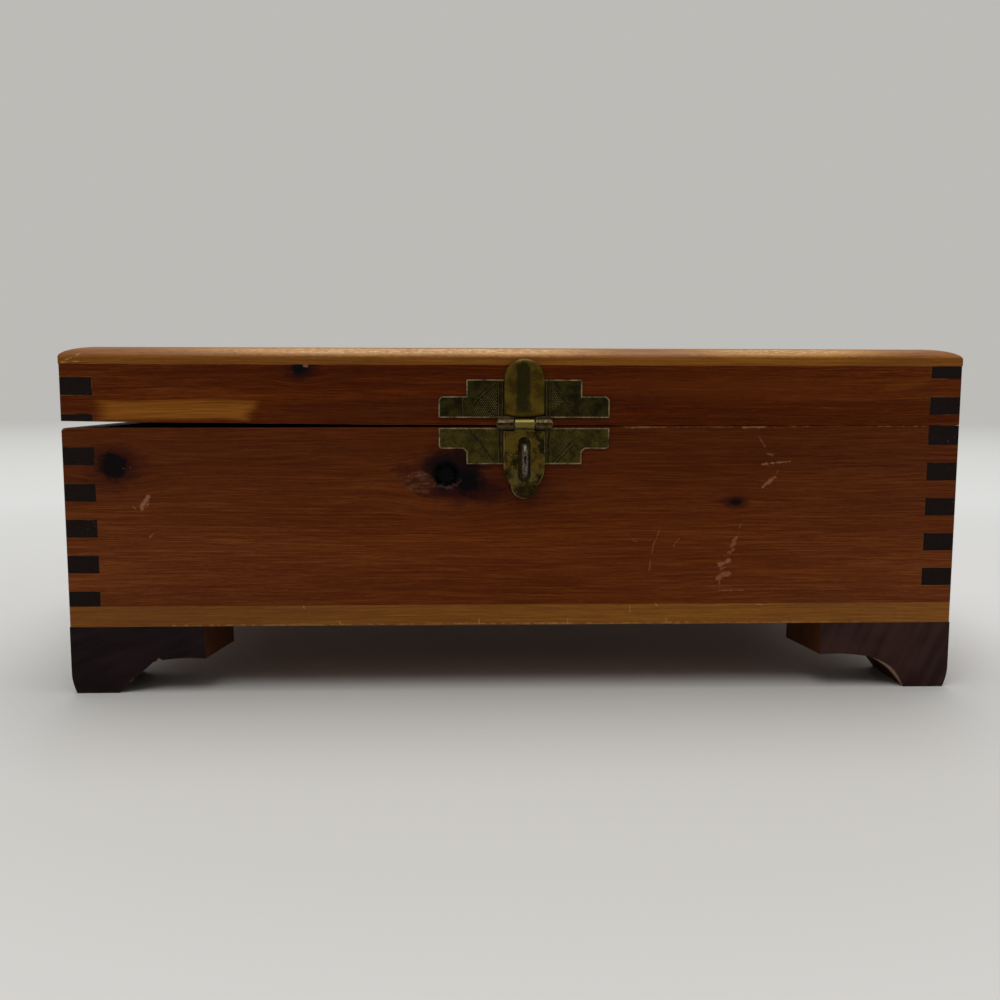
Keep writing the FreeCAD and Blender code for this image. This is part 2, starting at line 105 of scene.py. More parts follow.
# %% [markdown]
# ## A finish, built one layer at a time
#
# A real surface is layered: wood, then stain, then varnish, then wear. Two small classes keep the
# node trees short to write. The first one adds nodes and joins them. The second one keeps a colour, a
# roughness and a height, and lays further layers over them where a mask says so.
# All patterns read Object coordinates in millimetres, so they stay on a piece when it moves.

# %% Node helper


class Net:
    """A node tree with short ways to add nodes and to join them."""

    def __init__(self, tree):
        self.tree = tree

    def put(self, value, socket):
        if isinstance(value, bpy.types.NodeSocket):
            self.tree.links.new(value, socket)
        else:
            socket.default_value = value

    def add(self, kind, settings=(), **inputs):
        node = self.tree.nodes.new("ShaderNode" + kind)
        for name, value in dict(settings).items():
            setattr(node, name, value)
        for name, value in inputs.items():
            self.put(value, node.inputs[name.replace("_", " ")])
        return node

    def calc(self, operation, *values):
        node = self.add("Math", {"operation": operation})
        for value, socket in zip(values, node.inputs):
            self.put(value, socket)
        return node.outputs[0]

    def vector(self, operation, *values, **named):
        node = self.add("VectorMath", {"operation": operation}, **named)
        for value, socket in zip(values, node.inputs):
            self.put(value, socket)
        return node.outputs["Value" if operation in ("DOT_PRODUCT", "LENGTH", "DISTANCE") else "Vector"]

    def total(self, *pairs):
        """The sum of some values, each times its weight."""
        result = 0.0
        for value, weight in pairs:
            result = self.calc("MULTIPLY_ADD", value, weight, result)
        return result

    def least(self, *values):
        result = values[0]
        for value in values[1:]:
            result = self.calc("MINIMUM", result, value)
        return result

    def blend(self, share, first, second):
        colour = any(isinstance(v, tuple) or getattr(v, "type", "") == "RGBA" for v in (first, second))
        node = self.add("Mix", {"data_type": "RGBA" if colour else "FLOAT"})
        start = 6 if colour else 2
        self.put(share, node.inputs[0])
        self.put(first, node.inputs[start])
        self.put(second, node.inputs[start + 1])
        return node.outputs[2 if colour else 0]

    def split(self, vector):
        return self.add("SeparateXYZ", Vector=vector).outputs

    def join(self, x, y, z):
        return self.add("CombineXYZ", X=x, Y=y, Z=z).outputs[0]

    def soft(self, value, low, high, start=0.0, end=1.0):
        node = self.add("MapRange", {"interpolation_type": "SMOOTHSTEP"}, Value=value,
                        From_Min=low, From_Max=high, To_Min=start, To_Max=end)
        return node.outputs[0]

    def noise(self, vector, spacing, detail=2.0, rough=0.5, place=(0, 0, 0)):
        """Noise whose grains are about spacing millimetres along each axis."""
        scaled = self.add("Mapping", Vector=vector, Location=place, Scale=tuple(1 / s for s in spacing))
        node = self.add("TexNoise", Vector=scaled.outputs[0], Scale=1.0, Detail=detail, Roughness=rough)
        return node.outputs[0]

    def ramp(self, value, *stops):
        node = self.add("ValToRGB", Fac=value)
        band = node.color_ramp
        while len(band.elements) < len(stops):
            band.elements.new(0.5)
        for element, (place, colour) in zip(band.elements, stops):
            element.position, element.color = place, colour
        return node.outputs[0]

    def plain_sight(self):
        """1 for rays that come from the camera straight, over a mirror or through glass."""
        ray = self.add("LightPath").outputs
        mirrored = self.calc("MAXIMUM", ray["Is Glossy Ray"], ray["Is Transmission Ray"])
        return self.calc("MAXIMUM", ray["Is Camera Ray"], mirrored)


class Finish(Net):
    """A material whose colour, roughness and height are laid on in layers."""

    def __init__(self, name):
        self.material = bpy.data.materials.new(name)
        self.material.use_nodes = True
        super().__init__(self.material.node_tree)
        self.shader = self.tree.nodes["Principled BSDF"]
        source = self.add("TexCoord")
        self.normal = source.outputs["Normal"]
        self.mm = self.vector("SCALE", source.outputs["Object"], Scale=1 / MM)
        self.along, self.deep, self.high = self.split(self.mm)
        self.colour, self.roughness, self.height = (0.5, 0.5, 0.5, 1), 0.5, 0.0

    def lay(self, mask, colour=None, share=1.0, roughness=None, height=None):
        """One layer over what is there, where the mask is 1."""
        if share != 1.0:
            mask = self.calc("MULTIPLY", mask, share)
        if colour is not None:
            self.colour = self.blend(mask, self.colour, colour)
        if roughness is not None:
            self.roughness = self.blend(mask, self.roughness, roughness)
        if height is not None:
            self.height = self.blend(mask, self.height, height)

    def shade(self, share, start, end):
        """Multiplies the colour by a tint that runs from start to end as the share grows."""
        node = self.add("Mix", {"data_type": "RGBA", "blend_type": "MULTIPLY"})
        self.put(1.0, node.inputs[0])
        self.put(self.colour, node.inputs[6])
        self.put(self.blend(share, start + (1.0,), end + (1.0,)), node.inputs[7])
        self.colour = node.outputs[2]

    def worn(self):
        """The mark that eased edges carry, broken up so that the wear comes and goes."""
        mark = self.add("Attribute", {"attribute_name": "worn"}).outputs["Fac"]
        return self.calc("MULTIPLY", mark, self.soft(self.noise(self.mm, (6, 6, 6), 3.0, 0.6), 0.42, 0.62))

    def in_front(self):
        """1 near the front face of the box, where the marks of the photograph are."""
        return self.soft(self.deep, front + 6.0, front + 4.0)

    def patch(self, x, z, wide, high, ragged=0.5, edge=0.3, lean=0.0):
        """A ragged patch on a face that looks along Y, 1 inside and 0 outside, by its half sizes."""
        side, rise = self.calc("SUBTRACT", self.along, x), self.calc("SUBTRACT", self.high, z)
        if lean:
            side, rise = (self.total((side, cos(lean)), (rise, sin(lean))),
                          self.total((side, -sin(lean)), (rise, cos(lean))))
        side, rise = self.calc("DIVIDE", side, wide), self.calc("DIVIDE", rise, high)
        reach = self.vector("LENGTH", self.join(side, rise, 0.0))
        grain = 0.5 * min(wide, high) + 0.2
        fray = self.noise(self.mm, (grain * 1.8, grain, grain), 4.0, 0.65, (x, z, 0))
        reach = self.total((reach, 1.0), (fray, 4 * ragged), (1.0, -2 * ragged))
        return self.calc("MULTIPLY", self.soft(reach, 1 + edge, 1 - edge), self.in_front())

    def stroke(self, points, width, gaps=0.45):
        """A broken scratch along a row of points on a face that looks along Y."""
        place = self.join(self.along, 0.0, self.high)
        nearest = 99.0
        for (x0, z0), (x1, z1) in zip(points, points[1:]):
            run = Vector((x1 - x0, 0, z1 - z0))
            offset = self.vector("SUBTRACT", place, (x0, 0, z0))
            share = self.calc("DIVIDE", self.vector("DOT_PRODUCT", offset, tuple(run)), run.length_squared)
            share = self.calc("MINIMUM", self.calc("MAXIMUM", share, 0.0), 1.0)
            foot = self.vector("SCALE", tuple(run), Scale=share)
            nearest = self.calc("MINIMUM", nearest, self.vector("DISTANCE", offset, foot))
        wobble = self.noise(self.mm, (1.2, 1.2, 1.2), 2.0)
        line = self.soft(self.total((nearest, 1.0), (wobble, 2.4 * width), (width, -1.2)), width, width * 0.3)
        breaks = self.noise(self.mm, (1.8, 1.8, 1.8), 2.0, 0.5, points[0] + (0,))
        line = self.calc("MULTIPLY", line, self.soft(breaks, gaps - 0.07, gaps + 0.07))
        return self.calc("MULTIPLY", line, self.in_front())

    def close(self, depth, metal=0.0, specular=0.5):
        """Joins the layers to the shader. Depth is the height of a full bump in millimetres."""
        self.put(self.colour, self.shader.inputs["Base Color"])
        self.put(self.roughness, self.shader.inputs["Roughness"])
        self.shader.inputs["Metallic"].default_value = metal
        self.shader.inputs["Specular IOR Level"].default_value = specular
        bump = self.add("Bump", Height=self.height, Strength=1.0, Distance=depth * MM)
        self.put(bump.outputs[0], self.shader.inputs["Normal"])
        return self.material


def srgb(red, green, blue):
    """A colour as it is read off a screen, from 0 to 255, in the linear values that a shader takes."""
    parts = (c / 255 for c in (red, green, blue))
    return tuple(v / 12.92 if v <= 0.04045 else ((v + 0.055) / 1.055) ** 2.4 for v in parts) + (1.0,)


print("finish layers ready")

# %% [markdown]
# ## Floor and light
#
# The box stands on a wide pale sheet that runs into a pale background without an edge. A round disc
# does this from every side: near the box it is plain matt paper that takes the shadow, with painted light
# that makes it paler away from the box and at both sides, and further out, sooner behind the box, it
# fades into the colour of the background. One large lamp overhead gives the soft sheen on the lid, and a
# dim world fills the front.

# %% Floor
BACKGROUND = srgb(188, 187, 183)
FLOOR_RADIUS = 6.0
bm = bmesh.new()
bmesh.ops.create_circle(bm, cap_ends=True, segments=96, radius=FLOOR_RADIUS)
floor_mesh = bpy.data.meshes.new("floor")
bm.to_mesh(floor_mesh)
bm.free()
floor = bpy.data.objects.new("floor", floor_mesh)
scene.collection.objects.link(floor)
paper = Finish("pale_paper")
reach = paper.vector("LENGTH", paper.mm)
# Painted light: the paper is made paler away from the box, and paler still at both sides.
paper.colour = paper.blend(paper.soft(reach, 170.0, 330.0), srgb(198, 196, 192), srgb(213, 211, 208))
paper.lay(paper.soft(paper.along, 90.0, 165.0), srgb(214, 213, 211), 0.9)
paper.lay(paper.soft(paper.along, -100.0, -165.0), srgb(208, 208, 206), 0.6)
paper.roughness = 0.7
paper.height = paper.noise(paper.mm, (2, 2, 2))
floor_mesh.materials.append(paper.close(0.02, specular=0.1))
far = paper.blend(paper.soft(reach, 0.0, 2900.0), srgb(224, 225, 222), BACKGROUND)
glow = paper.add("Emission", Color=far, Strength=paper.blend(paper.plain_sight(), 0.12, 1.0))
behind = paper.total((reach, 1.0), (paper.deep, 0.5))
fade = paper.add("MixShader", Fac=paper.soft(behind, 260.0, 800.0))
paper.put(paper.shader.outputs[0], fade.inputs[1])
paper.put(glow.outputs[0], fade.inputs[2])
paper.put(fade.outputs[0], paper.tree.nodes["Material Output"].inputs[0])
print("floor radius", FLOOR_RADIUS, "m")

# %% Light
world = bpy.data.worlds.new("studio")
scene.world = world
world.use_nodes = True
sky = Net(world.node_tree)
lean = sky.vector("DOT_PRODUCT", sky.add("TexCoord").outputs["Generated"], (0.0, 0.6, 0.8))
ambient = sky.add("Background", Color=(1, 1, 1, 1), Strength=sky.soft(lean, -0.5, 0.9, 0.07, 0.62))
backdrop = sky.add("Background", Color=BACKGROUND)
choose = sky.add("MixShader", Fac=sky.plain_sight())
sky.put(ambient.outputs[0], choose.inputs[1])
sky.put(backdrop.outputs[0], choose.inputs[2])
sky.put(choose.outputs[0], sky.tree.nodes["World Output"].inputs[0])


def lamp(name, place, target, size, power):
    """A square soft lamp at a place in millimetres, turned to a target."""
    data = bpy.data.lights.new(name, "AREA")
    data.shape, data.size, data.energy = "SQUARE", size * MM, power
    lamp_object = bpy.data.objects.new(name, data)
    lamp_object.location = Vector(place) * MM
    lamp_object.rotation_euler = (Vector(target) - Vector(place)).to_track_quat("-Z", "Y").to_euler()
    scene.collection.objects.link(lamp_object)


lamp("overhead", (20, 130, 900), (0, 0, 60), 700, 4.4)
lamp("front_fill", (-120, -480, 850), (0, -70, 50), 500, 2.4)

# %% [markdown]
# ## Cedar
#
# The walls are red cedar boards under a satin varnish. A planed face shows fine level fibres, soft darker
# bands and thin dark hairlines, and all of them bend around a knot. Where the surface faces along
# the grain, the stain has soaked in and the end grain is almost black. The inside was never varnished,
# so there the wood is paler and duller.

# %% Cedar finish


def cedar(name, tones, turned=False, seed=0.0, knots=(), end_tone=None):
    """A cedar finish with its grain along X, or along Y when turned. Knots are (along, up, radius)."""
    wood = Finish(name)
    dark, middle, light = tones
    if turned:
        turn = wood.add("Mapping", Vector=wood.mm, Rotation=(0, 0, -pi / 2))
        along, deep, high = wood.split(turn.outputs[0])
    else:
        along, deep, high = wood.along, wood.deep, wood.high
    bent = high
    for place, height_of_knot, radius in knots:
        side, rise = wood.calc("SUBTRACT", along, place), wood.calc("SUBTRACT", high, height_of_knot)
        reach = wood.vector("LENGTH", wood.join(wood.calc("MULTIPLY", side, 0.6), rise, 0.0))
        pull = wood.soft(reach, radius * 3.4, radius * 0.8)
        bent = wood.total((wood.calc("MULTIPLY", rise, pull), -0.45), (bent, 1.0))
    shift_along, shift_deep = seed * 917.0, seed * 131.0
    grain = wood.join(wood.calc("ADD", along, shift_along), wood.calc("ADD", deep, shift_deep),
                      wood.total((wood.noise(wood.mm, (90, 60, 24), 1.0), 3.0), (bent, 1.0)))
    broad = wood.noise(grain, (150, 40, 14), 2.0)
    bands = wood.noise(grain, (60, 5, 1.3), 3.0, 0.6)
    fibre = wood.noise(grain, (13, 0.7, 0.32), 2.0, 0.6)
    hairs = wood.noise(grain, (20, 0.6, 0.2), 1.0, 0.5, (3.3, 1.7, 0.4))
    tone = wood.soft(wood.total((broad, 0.42), (bands, 0.36), (fibre, 0.61)), 0.42, 0.98)
    wood.colour = wood.ramp(tone, (0.0, dark), (0.5, middle), (1.0, light))
    wood.lay(wood.soft(hairs, 0.6, 0.7), dark, 0.6)
    wood.lay(wood.soft(hairs, 0.36, 0.3), light, 0.3)
    ticks = wood.noise(grain, (2.6, 0.5, 0.22), 2.0, 0.6, (8.1, 2.9, 5.5))
    wood.lay(wood.soft(ticks, 0.56, 0.68), dark, 0.55)
    wood.lay(wood.soft(ticks, 0.42, 0.32), light, 0.3)
    wood.roughness = wood.soft(fibre, 0.2, 0.8, 0.36, 0.52)
    wood.height = wood.total((fibre, 0.6), (bands, 0.4))
    wood.fibre, wood.grain, wood.tone = fibre, grain, tone
    if end_tone:
        facing = wood.calc("ABSOLUTE", wood.split(wood.normal)[1 if turned else 0])
        pores = wood.noise(wood.mm, (0.4, 0.4, 0.4), 2.0, 0.6)
        paler, darker = (srgb(*[c * share for c in end_tone]) for share in (1.15, 0.8))
        on_end = wood.soft(facing, 0.45, 0.8)
        wood.lay(on_end, wood.ramp(pores, (0.3, paler), (0.7, darker)), roughness=0.6, height=pores)
        grains = wood.soft(wood.noise(wood.mm, (0.5, 0.5, 0.5), 1.0, 0.5, (9, 4, 2)), 0.69, 0.75)
        dust = wood.calc("MULTIPLY", grains, wood.soft(wood.noise(wood.mm, (7, 7, 7), 2.0), 0.5, 0.62))
        wood.lay(wood.calc("MULTIPLY", dust, on_end), srgb(96, 85, 74), 0.5)
    return wood


def bare_inside(wood, tones):
    """Bare wood on the faces that look into the box."""
    spans = ((INNER_HALF, wood.calc("ABSOLUTE", wood.along)), (wood.deep, front + WALL),
             (back - WALL, wood.deep), (wood.high, WALL_FOOT), (LID_JOINT, wood.high))
    reach = wood.least(*[wood.calc("SUBTRACT", end, start) for end, start in spans])
    dark, light = tones
    bare = wood.blend(wood.tone, dark, light)
    wood.lay(wood.soft(reach, -0.12, -0.02), bare, roughness=0.75)


RED = (srgb(80, 30, 8), srgb(101, 47, 14), srgb(125, 66, 27))
LID_RED = (srgb(63, 20, 3), srgb(85, 34, 5), srgb(117, 57, 16))
HONEY = (srgb(106, 56, 4), srgb(128, 74, 8), srgb(154, 98, 20))
BARE = (srgb(122, 68, 36), srgb(178, 122, 78))
END_GRAIN = (29, 21, 18)
print("cedar tones", RED[1][:3], HONEY[1][:3])

# %% [markdown]
# ## Eased copies
#
# Each board is a copy of its CAD solid. The copy's triangles are merged into whole flat faces, so
# that the sharp edges can be eased by a tenth of a millimetre: fine sandpaper leaves such an edge,
# and it is what makes a finger joint show as a thin line. The eased faces carry a mark for wear.

# %% Eased copies


def round_off(bm, edges, width, segments=2):
    """Rounds some edges off and returns the new faces."""
    return bmesh.ops.bevel(bm, geom=edges, offset=width, offset_type="OFFSET", segments=segments, profile=0.5,
                           affect="EDGES", clamp_overlap=True, material=-1)["faces"]


def new_piece(bm, name, smooth):
    """An object from a finished mesh, shaded smooth up to an angle in degrees."""
    mesh = bpy.data.meshes.new(name)
    bm.to_mesh(mesh)
    open_edges = sum(not e.is_manifold for e in bm.edges)
    bm.free()
    mesh.shade_smooth()
    mesh.set_sharp_from_angle(angle=radians(smooth))
    piece = bpy.data.objects.new(name, mesh)
    scene.collection.objects.link(piece)
    print(name, len(mesh.polygons), "faces,", open_edges, "open edges")
    return piece


def eased_copy(name, ease, shape=None):
    """A copy of a CAD node with its flat faces joined and its sharp edges eased, in place of the node."""
    bm = bmesh.new()
    bm.from_mesh(nodes[name].data)
    bmesh.ops.remove_doubles(bm, verts=bm.verts, dist=0.0005 * MM)
    bmesh.ops.dissolve_limit(bm, angle_limit=radians(0.5), verts=bm.verts, edges=bm.edges)
    worn = bm.loops.layers.float.new("worn")
    sharp = [e for e in bm.edges if e.is_manifold and e.calc_face_angle() > radians(30)]
    for face in round_off(bm, sharp, ease * MM):
        for loop in face.loops:
            loop[worn] = 1.0
    if shape:
        shape(bm)
    piece = new_piece(bm, name + "_eased", 18)
    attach(piece, nodes[name]["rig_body"])
    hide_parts(name)
    return piece


# %% [markdown]
# ## Dents and a broken corner
#
# The knot beside the hasp has partly fallen out, and a few chips are knocked into the front. A dent needs
# points to move, so planes first cut a fine grid into a small part of the front face, and then the points
# of this grid are pushed in. The broken corner is cut off by one slanted plane and closed again.

# %% Dents


def faces_on(bm, plane, inside):
    """The faces of a plane that looks to the front, with the middle where inside says."""
    return [f for f in bm.faces if f.normal.y < -0.99 and abs(f.calc_center_median().y / MM - plane) < 0.02
            and inside(f.calc_center_median() / MM)]


def slice_faces(bm, faces, point, direction):
    """Cuts some faces along a plane through a point in millimetres."""
    geom = faces + list({e for f in faces for e in f.edges}) + list({v for f in faces for v in f.verts})
    bmesh.ops.bisect_plane(bm, geom=geom, dist=1e-7, plane_co=point * MM, plane_no=direction)


def dent(bm, x, z, wide, high, depth, sharpness=1.0, steps=12):
    """A ragged hollow in the front face, wide and high in half sizes."""
    margin = 1.3
    sides = ((x, wide * margin, Vector((1, 0, 0))), (z, high * margin, Vector((0, 0, 1))))

    def near(point):
        return abs(point.x - x) < wide * margin and abs(point.z - z) < high * margin

    for middle, half, axis in sides:
        for end in (-1, 1):
            slice_faces(bm, faces_on(bm, front, lambda point: True), axis * (middle + end * half), axis)
    for middle, half, axis in sides:
        for step in range(1, steps):
            slice_faces(bm, faces_on(bm, front, near), axis * (middle + half * (2 * step / steps - 1)), axis)
    moved = 0
    for v in bm.verts:
        place = v.co / MM
        if abs(place.y - front) > 0.01 or not near(place):
            continue
        reach = hypot((place.x - x) / wide, (place.z - z) / high)
        reach += 0.35 * noise.noise(Vector((place.x, x, place.z)) * 0.9)
        share = min(max((1 - reach) * sharpness, 0), 1)
        v.co.y += depth * MM * share * (1 + 0.3 * noise.noise(Vector((place.x, z, place.z)) * 2.1))
        moved += share > 0
    return moved


def front_damage(bm):
    """What has happened to the front board."""
    print("dented points:", [
        dent(bm, -20.0, 62.6, 4.2, 4.0, 1.9, 2.2, 16),
        dent(bm, -13.0, 60.2, 3.6, 3.0, 0.5, 1.5),
        dent(bm, -28.4, 60.6, 4.6, 2.8, 0.35, 1.2),
        dent(bm, -113.3, 65.2, 3.6, 3.4, 0.5, 1.6),
        dent(bm, -104.7, 54.5, 1.5, 1.9, 0.4, 1.5, 8),
        dent(bm, -102.8, 45.8, 1.0, 1.2, 0.3, 1.5, 8),
    ])
    corner, broken_off = Vector((-127.0, front, 75.7)), 0.7
    outwards = Vector((-0.53, -0.5, 1.25)).normalized()
    cut = bmesh.ops.bisect_plane(bm, geom=bm.verts[:] + bm.edges[:] + bm.faces[:], dist=1e-7,
                                 plane_co=(corner - outwards * broken_off) * MM, plane_no=outwards,
                                 clear_outer=True)["geom_cut"]
    bmesh.ops.holes_fill(bm, edges=[g for g in cut if isinstance(g, bmesh.types.BMEdge)])


# %% [markdown]
# ## A lid that has settled
#
# At its right end the lid has settled onto the body, so the lower edge of its rails is drawn down there
# by up to a third of a millimetre, and a hair's breadth of air is left above the rim.

# %% Settled end
RAIL_EDGE, SETTLE_FROM, SETTLE_RUN, SETTLE_DROP = 78.2, 96.0, 31.0, 0.34


def settled(bm):
    """Draws the lower edge of a lid rail down at its right end."""
    for v in bm.verts:
        place = v.co / MM
        if place.z < RAIL_EDGE and place.x > SETTLE_FROM:
            v.co.z -= SETTLE_DROP * MM * min((place.x - SETTLE_FROM) / SETTLE_RUN, 1.0) ** 2


# %% [markdown]
# ## Boards
#
# The long boards have their grain along the front, the short ones along the depth, and the bottom and
# the top are of a paler, honey-coloured board. The front is first tinted darker towards the rim and
# lighter towards the foot, and, like the lid rail, paler and cooler at its ends as a painted reflection.
# Then each board's own marks are laid over its finish: knots, the pale sapwood on the lid, scratches down
# the right half, and chips along the edges, with painted shade under the hasp and along the lid's lower
# edge, and painted highlights along the lid's top edge and by two knots.

# %% Marks of the boards


# Each scratch or chip has its points, its width, how broken it is, and how much of the pale wood shows.
SCRATCHES = (
    (((69.1, 73.4), (70.9, 70.6)), 0.35, 0.42, 0.45),
    (((71.6, 68.6), (73.2, 68.2)), 0.4, 0.45, 0.45),
    (((70.2, 65.6), (73.5, 65.9)), 0.5, 0.4, 0.7),
    (((72.5, 65.9), (78.2, 66.4)), 0.25, 0.35, 0.7),
    (((70.6, 59.2), (72.4, 60.8), (74.0, 61.8)), 0.6, 0.42, 0.65),
    (((74.0, 61.8), (74.8, 63.8)), 0.2, 0.45, 0.35),
    (((65.3, 51.6), (63.8, 45.6)), 0.3, 0.5, 0.3),
    (((63.2, 44.4), (61.9, 41.6)), 0.7, 0.45, 0.55),
    (((62.6, 40.9), (59.9, 38.9)), 0.6, 0.45, 0.5),
    (((61.4, 37.9), (58.6, 36.6)), 0.75, 0.42, 0.7),
    (((60.4, 36.0), (58.4, 34.8)), 0.5, 0.45, 0.55),
    (((61.4, 33.9), (57.3, 32.4)), 0.95, 0.45, 0.7),
    (((58.8, 32.4), (58.8, 29.2)), 0.4, 0.42, 0.6),
    (((58.8, 29.1), (65.7, 29.0)), 0.25, 0.4, 0.55),
    (((41.0, 46.7), (39.2, 41.9), (38.2, 34.7)), 0.25, 0.45, 0.4),
    (((48.6, 47.0), (45.2, 42.1)), 0.25, 0.45, 0.35),
    (((31.6, 45.6), (35.3, 42.5)), 0.35, 0.5, 0.25),
    (((-108.0, 53.7), (-107.2, 53.2)), 0.25, 0.4, 0.7),
    (((30.0, 76.15), (120.0, 76.5)), 0.22, 0.52, 0.45),
    (((32.5, 76.1), (39.0, 76.2)), 0.35, 0.42, 0.55),
    (((64.5, 76.1), (71.0, 76.2)), 0.35, 0.42, 0.55),
)
CHIPS = (
    (((-105.6, 53.2), (-104.9, 54.4), (-104.4, 55.6), (-103.6, 56.3)), 0.85, 0.4, 0.92),
    (((-105.4, 54.9), (-103.9, 54.4)), 0.35, 0.35, 0.8),
    (((-103.6, 45.0), (-102.2, 46.5)), 0.3, 0.42, 0.6),
)


def front_marks(wood):
    """Tints, knots, chips and scratches of the front board, with painted shade under the hasp and painted
    highlights at the torn wood and the left knot.
    """
    # Darker towards the rim and lighter towards the foot.
    at_foot, at_rim = (1.28, 1.36, 1.32), (0.7, 0.63, 0.6)
    wood.shade(wood.soft(wood.high, 28.0, 77.0), at_foot, at_rim)
    # Paler and cooler at both ends, darker and warmer in the middle: a painted reflection of the pale
    # surroundings in the varnish.
    off_middle = wood.calc("ABSOLUTE", wood.calc("SUBTRACT", wood.along, 12.0))
    in_middle, painted_reflection_at_ends = (0.93, 0.88, 0.74), (1.04, 1.12, 1.35)
    wood.shade(wood.soft(off_middle, 15.0, 115.0), in_middle, painted_reflection_at_ends)
    bruise, black, pale = srgb(46, 16, 13), srgb(5, 4, 5), srgb(156, 104, 72)
    # Painted shade under the hasp plate and flap, mixed with the stain that spreads from the knot.
    wood.lay(wood.patch(-4.0, 59.5, 17.0, 6.5, 0.3, 0.95), srgb(50, 13, 6), 0.6)
    wood.lay(wood.patch(-20.5, 60.6, 13.0, 4.6, 0.5, 0.4, -0.26), bruise, 0.7)
    wood.lay(wood.patch(-17.8, 63.9, 9.0, 6.2, 0.3, 0.4), srgb(19, 7, 10), 0.94)
    wood.lay(wood.patch(-20.0, 57.3, 9.0, 0.9, 0.5, 0.5), srgb(48, 14, 12), 0.7)
    wood.lay(wood.patch(-9.6, 58.2, 6.4, 2.9, 0.4, 0.6), srgb(38, 10, 8), 0.75)
    torn = wood.noise(wood.mm, (2.4, 1.5, 0.9), 3.0, 0.6, (5, 2, 0))
    torn_tone = wood.ramp(torn, (0.36, srgb(58, 28, 17)), (0.62, srgb(102, 59, 38)))
    wood.lay(wood.patch(-27.4, 60.6, 4.6, 3.0, 0.3, 0.12), torn_tone, 0.88, roughness=0.8)
    # A painted highlight along the upper edge of the torn wood.
    wood.lay(wood.stroke(((-31.8, 62.6), (-29.0, 62.2), (-25.8, 62.8)), 0.3, 0.5), srgb(140, 90, 70), 0.5)
    wood.lay(wood.patch(-13.9, 60.4, 3.9, 3.4, 0.6, 0.35), black, 0.97)
    wood.lay(wood.patch(-20.0, 62.6, 4.0, 3.9, 0.2, 0.12), black, roughness=0.3)
    hollow_edge = ((-22.2, 59.4), (-19.6, 58.9), (-17.2, 59.9), (-16.2, 61.0))
    wood.lay(wood.stroke(hollow_edge, 0.6, 0.4), srgb(84, 56, 48), 0.5)
    wood.lay(wood.patch(-112.6, 65.0, 6.6, 5.6, 0.5, 0.8), bruise, 0.8)
    wood.lay(wood.patch(-109.6, 67.2, 3.0, 1.5, 0.5, 0.5, 0.3), srgb(60, 16, 10), 0.7)
    wood.lay(wood.patch(-112.9, 65.3, 3.9, 3.8, 0.4, 0.36), srgb(8, 7, 10), 0.96, roughness=0.4)
    # Painted glints around the left knot.
    for x, z in ((-110.4, 64.6), (-108.4, 64.8), (-117.4, 64.6)):
        wood.lay(wood.stroke(((x, z), (x + 0.3, z - 0.1)), 0.12, 0.3), pale, 0.35)
    wood.lay(wood.patch(62.9, 54.8, 3.4, 1.8, 0.4, 0.5), bruise, 0.8)
    wood.lay(wood.patch(59.0, 55.0, 3.6, 0.5, 0.4, 0.5), bruise, 0.5)
    wood.lay(wood.patch(62.9, 54.8, 1.6, 0.9, 0.4, 0.5), black, 0.85)
    for points, width, gaps, share in CHIPS:
        wood.lay(wood.stroke(points, width, gaps), pale, share, roughness=0.8)
    for points, width, gaps, share in SCRATCHES:
        wood.lay(wood.stroke(points, width, gaps), pale, share)


def lid_marks(wood):
    """The lid's painted reflection at its ends, its painted shade along the lower edge, its sapwood, its knot
    and its chip.
    """
    # Paler and cooler at both ends, darker and warmer in the middle: a painted reflection of the pale
    # surroundings in the varnish.
    in_middle, painted_reflection_at_ends = (0.94, 0.88, 0.68), (1.1, 1.16, 1.3)
    wood.shade(wood.soft(wood.calc("ABSOLUTE", wood.along), 40.0, 120.0), in_middle, painted_reflection_at_ends)
    # Painted shade along the lid's lower edge beside the hasp, where the seam shades it.
    wood.lay(wood.patch(-36.0, 79.6, 40.0, 4.6, 0.3, 0.8), srgb(58, 18, 4), 0.5)
    wood.lay(wood.patch(70.0, 87.2, 40.0, 3.2, 0.3, 0.8), srgb(112, 54, 14), 0.35)
    slant = wood.total((wood.along, 1.0), (wood.high, -0.6), (wood.noise(wood.grain, (6, 3, 0.8), 3.0), 6.0))
    waves = wood.noise(wood.grain, (40, 8, 2.2), 3.0)
    streak = wood.total((waves, 3.0), (wood.high, 1.0), (wood.along, 0.012))
    sap = wood.least(wood.soft(streak, 77.8, 79.2), wood.soft(streak, 84.3, 82.5),
                     wood.soft(slant, -117.5, -122.5), wood.soft(wood.along, -118.6, -112.5))
    sap_tone = wood.blend(wood.tone, srgb(112, 58, 12), srgb(168, 106, 36))
    wood.lay(sap, sap_tone, 0.9)
    wood.lay(wood.patch(110.5, 88.0, 8.0, 1.2, 0.4, 0.5, 0.2), sap_tone, 0.15)
    wood.lay(wood.patch(-60.0, 92.4, 4.2, 2.8, 0.4, 0.5), srgb(36, 14, 11), 0.9)
    wood.lay(wood.patch(-60.6, 92.6, 2.0, 1.8, 0.35, 0.3), srgb(10, 9, 9))
    wood.lay(wood.patch(-59.0, 93.2, 0.7, 0.5, 0.4, 0.3), srgb(150, 100, 70), 0.8)


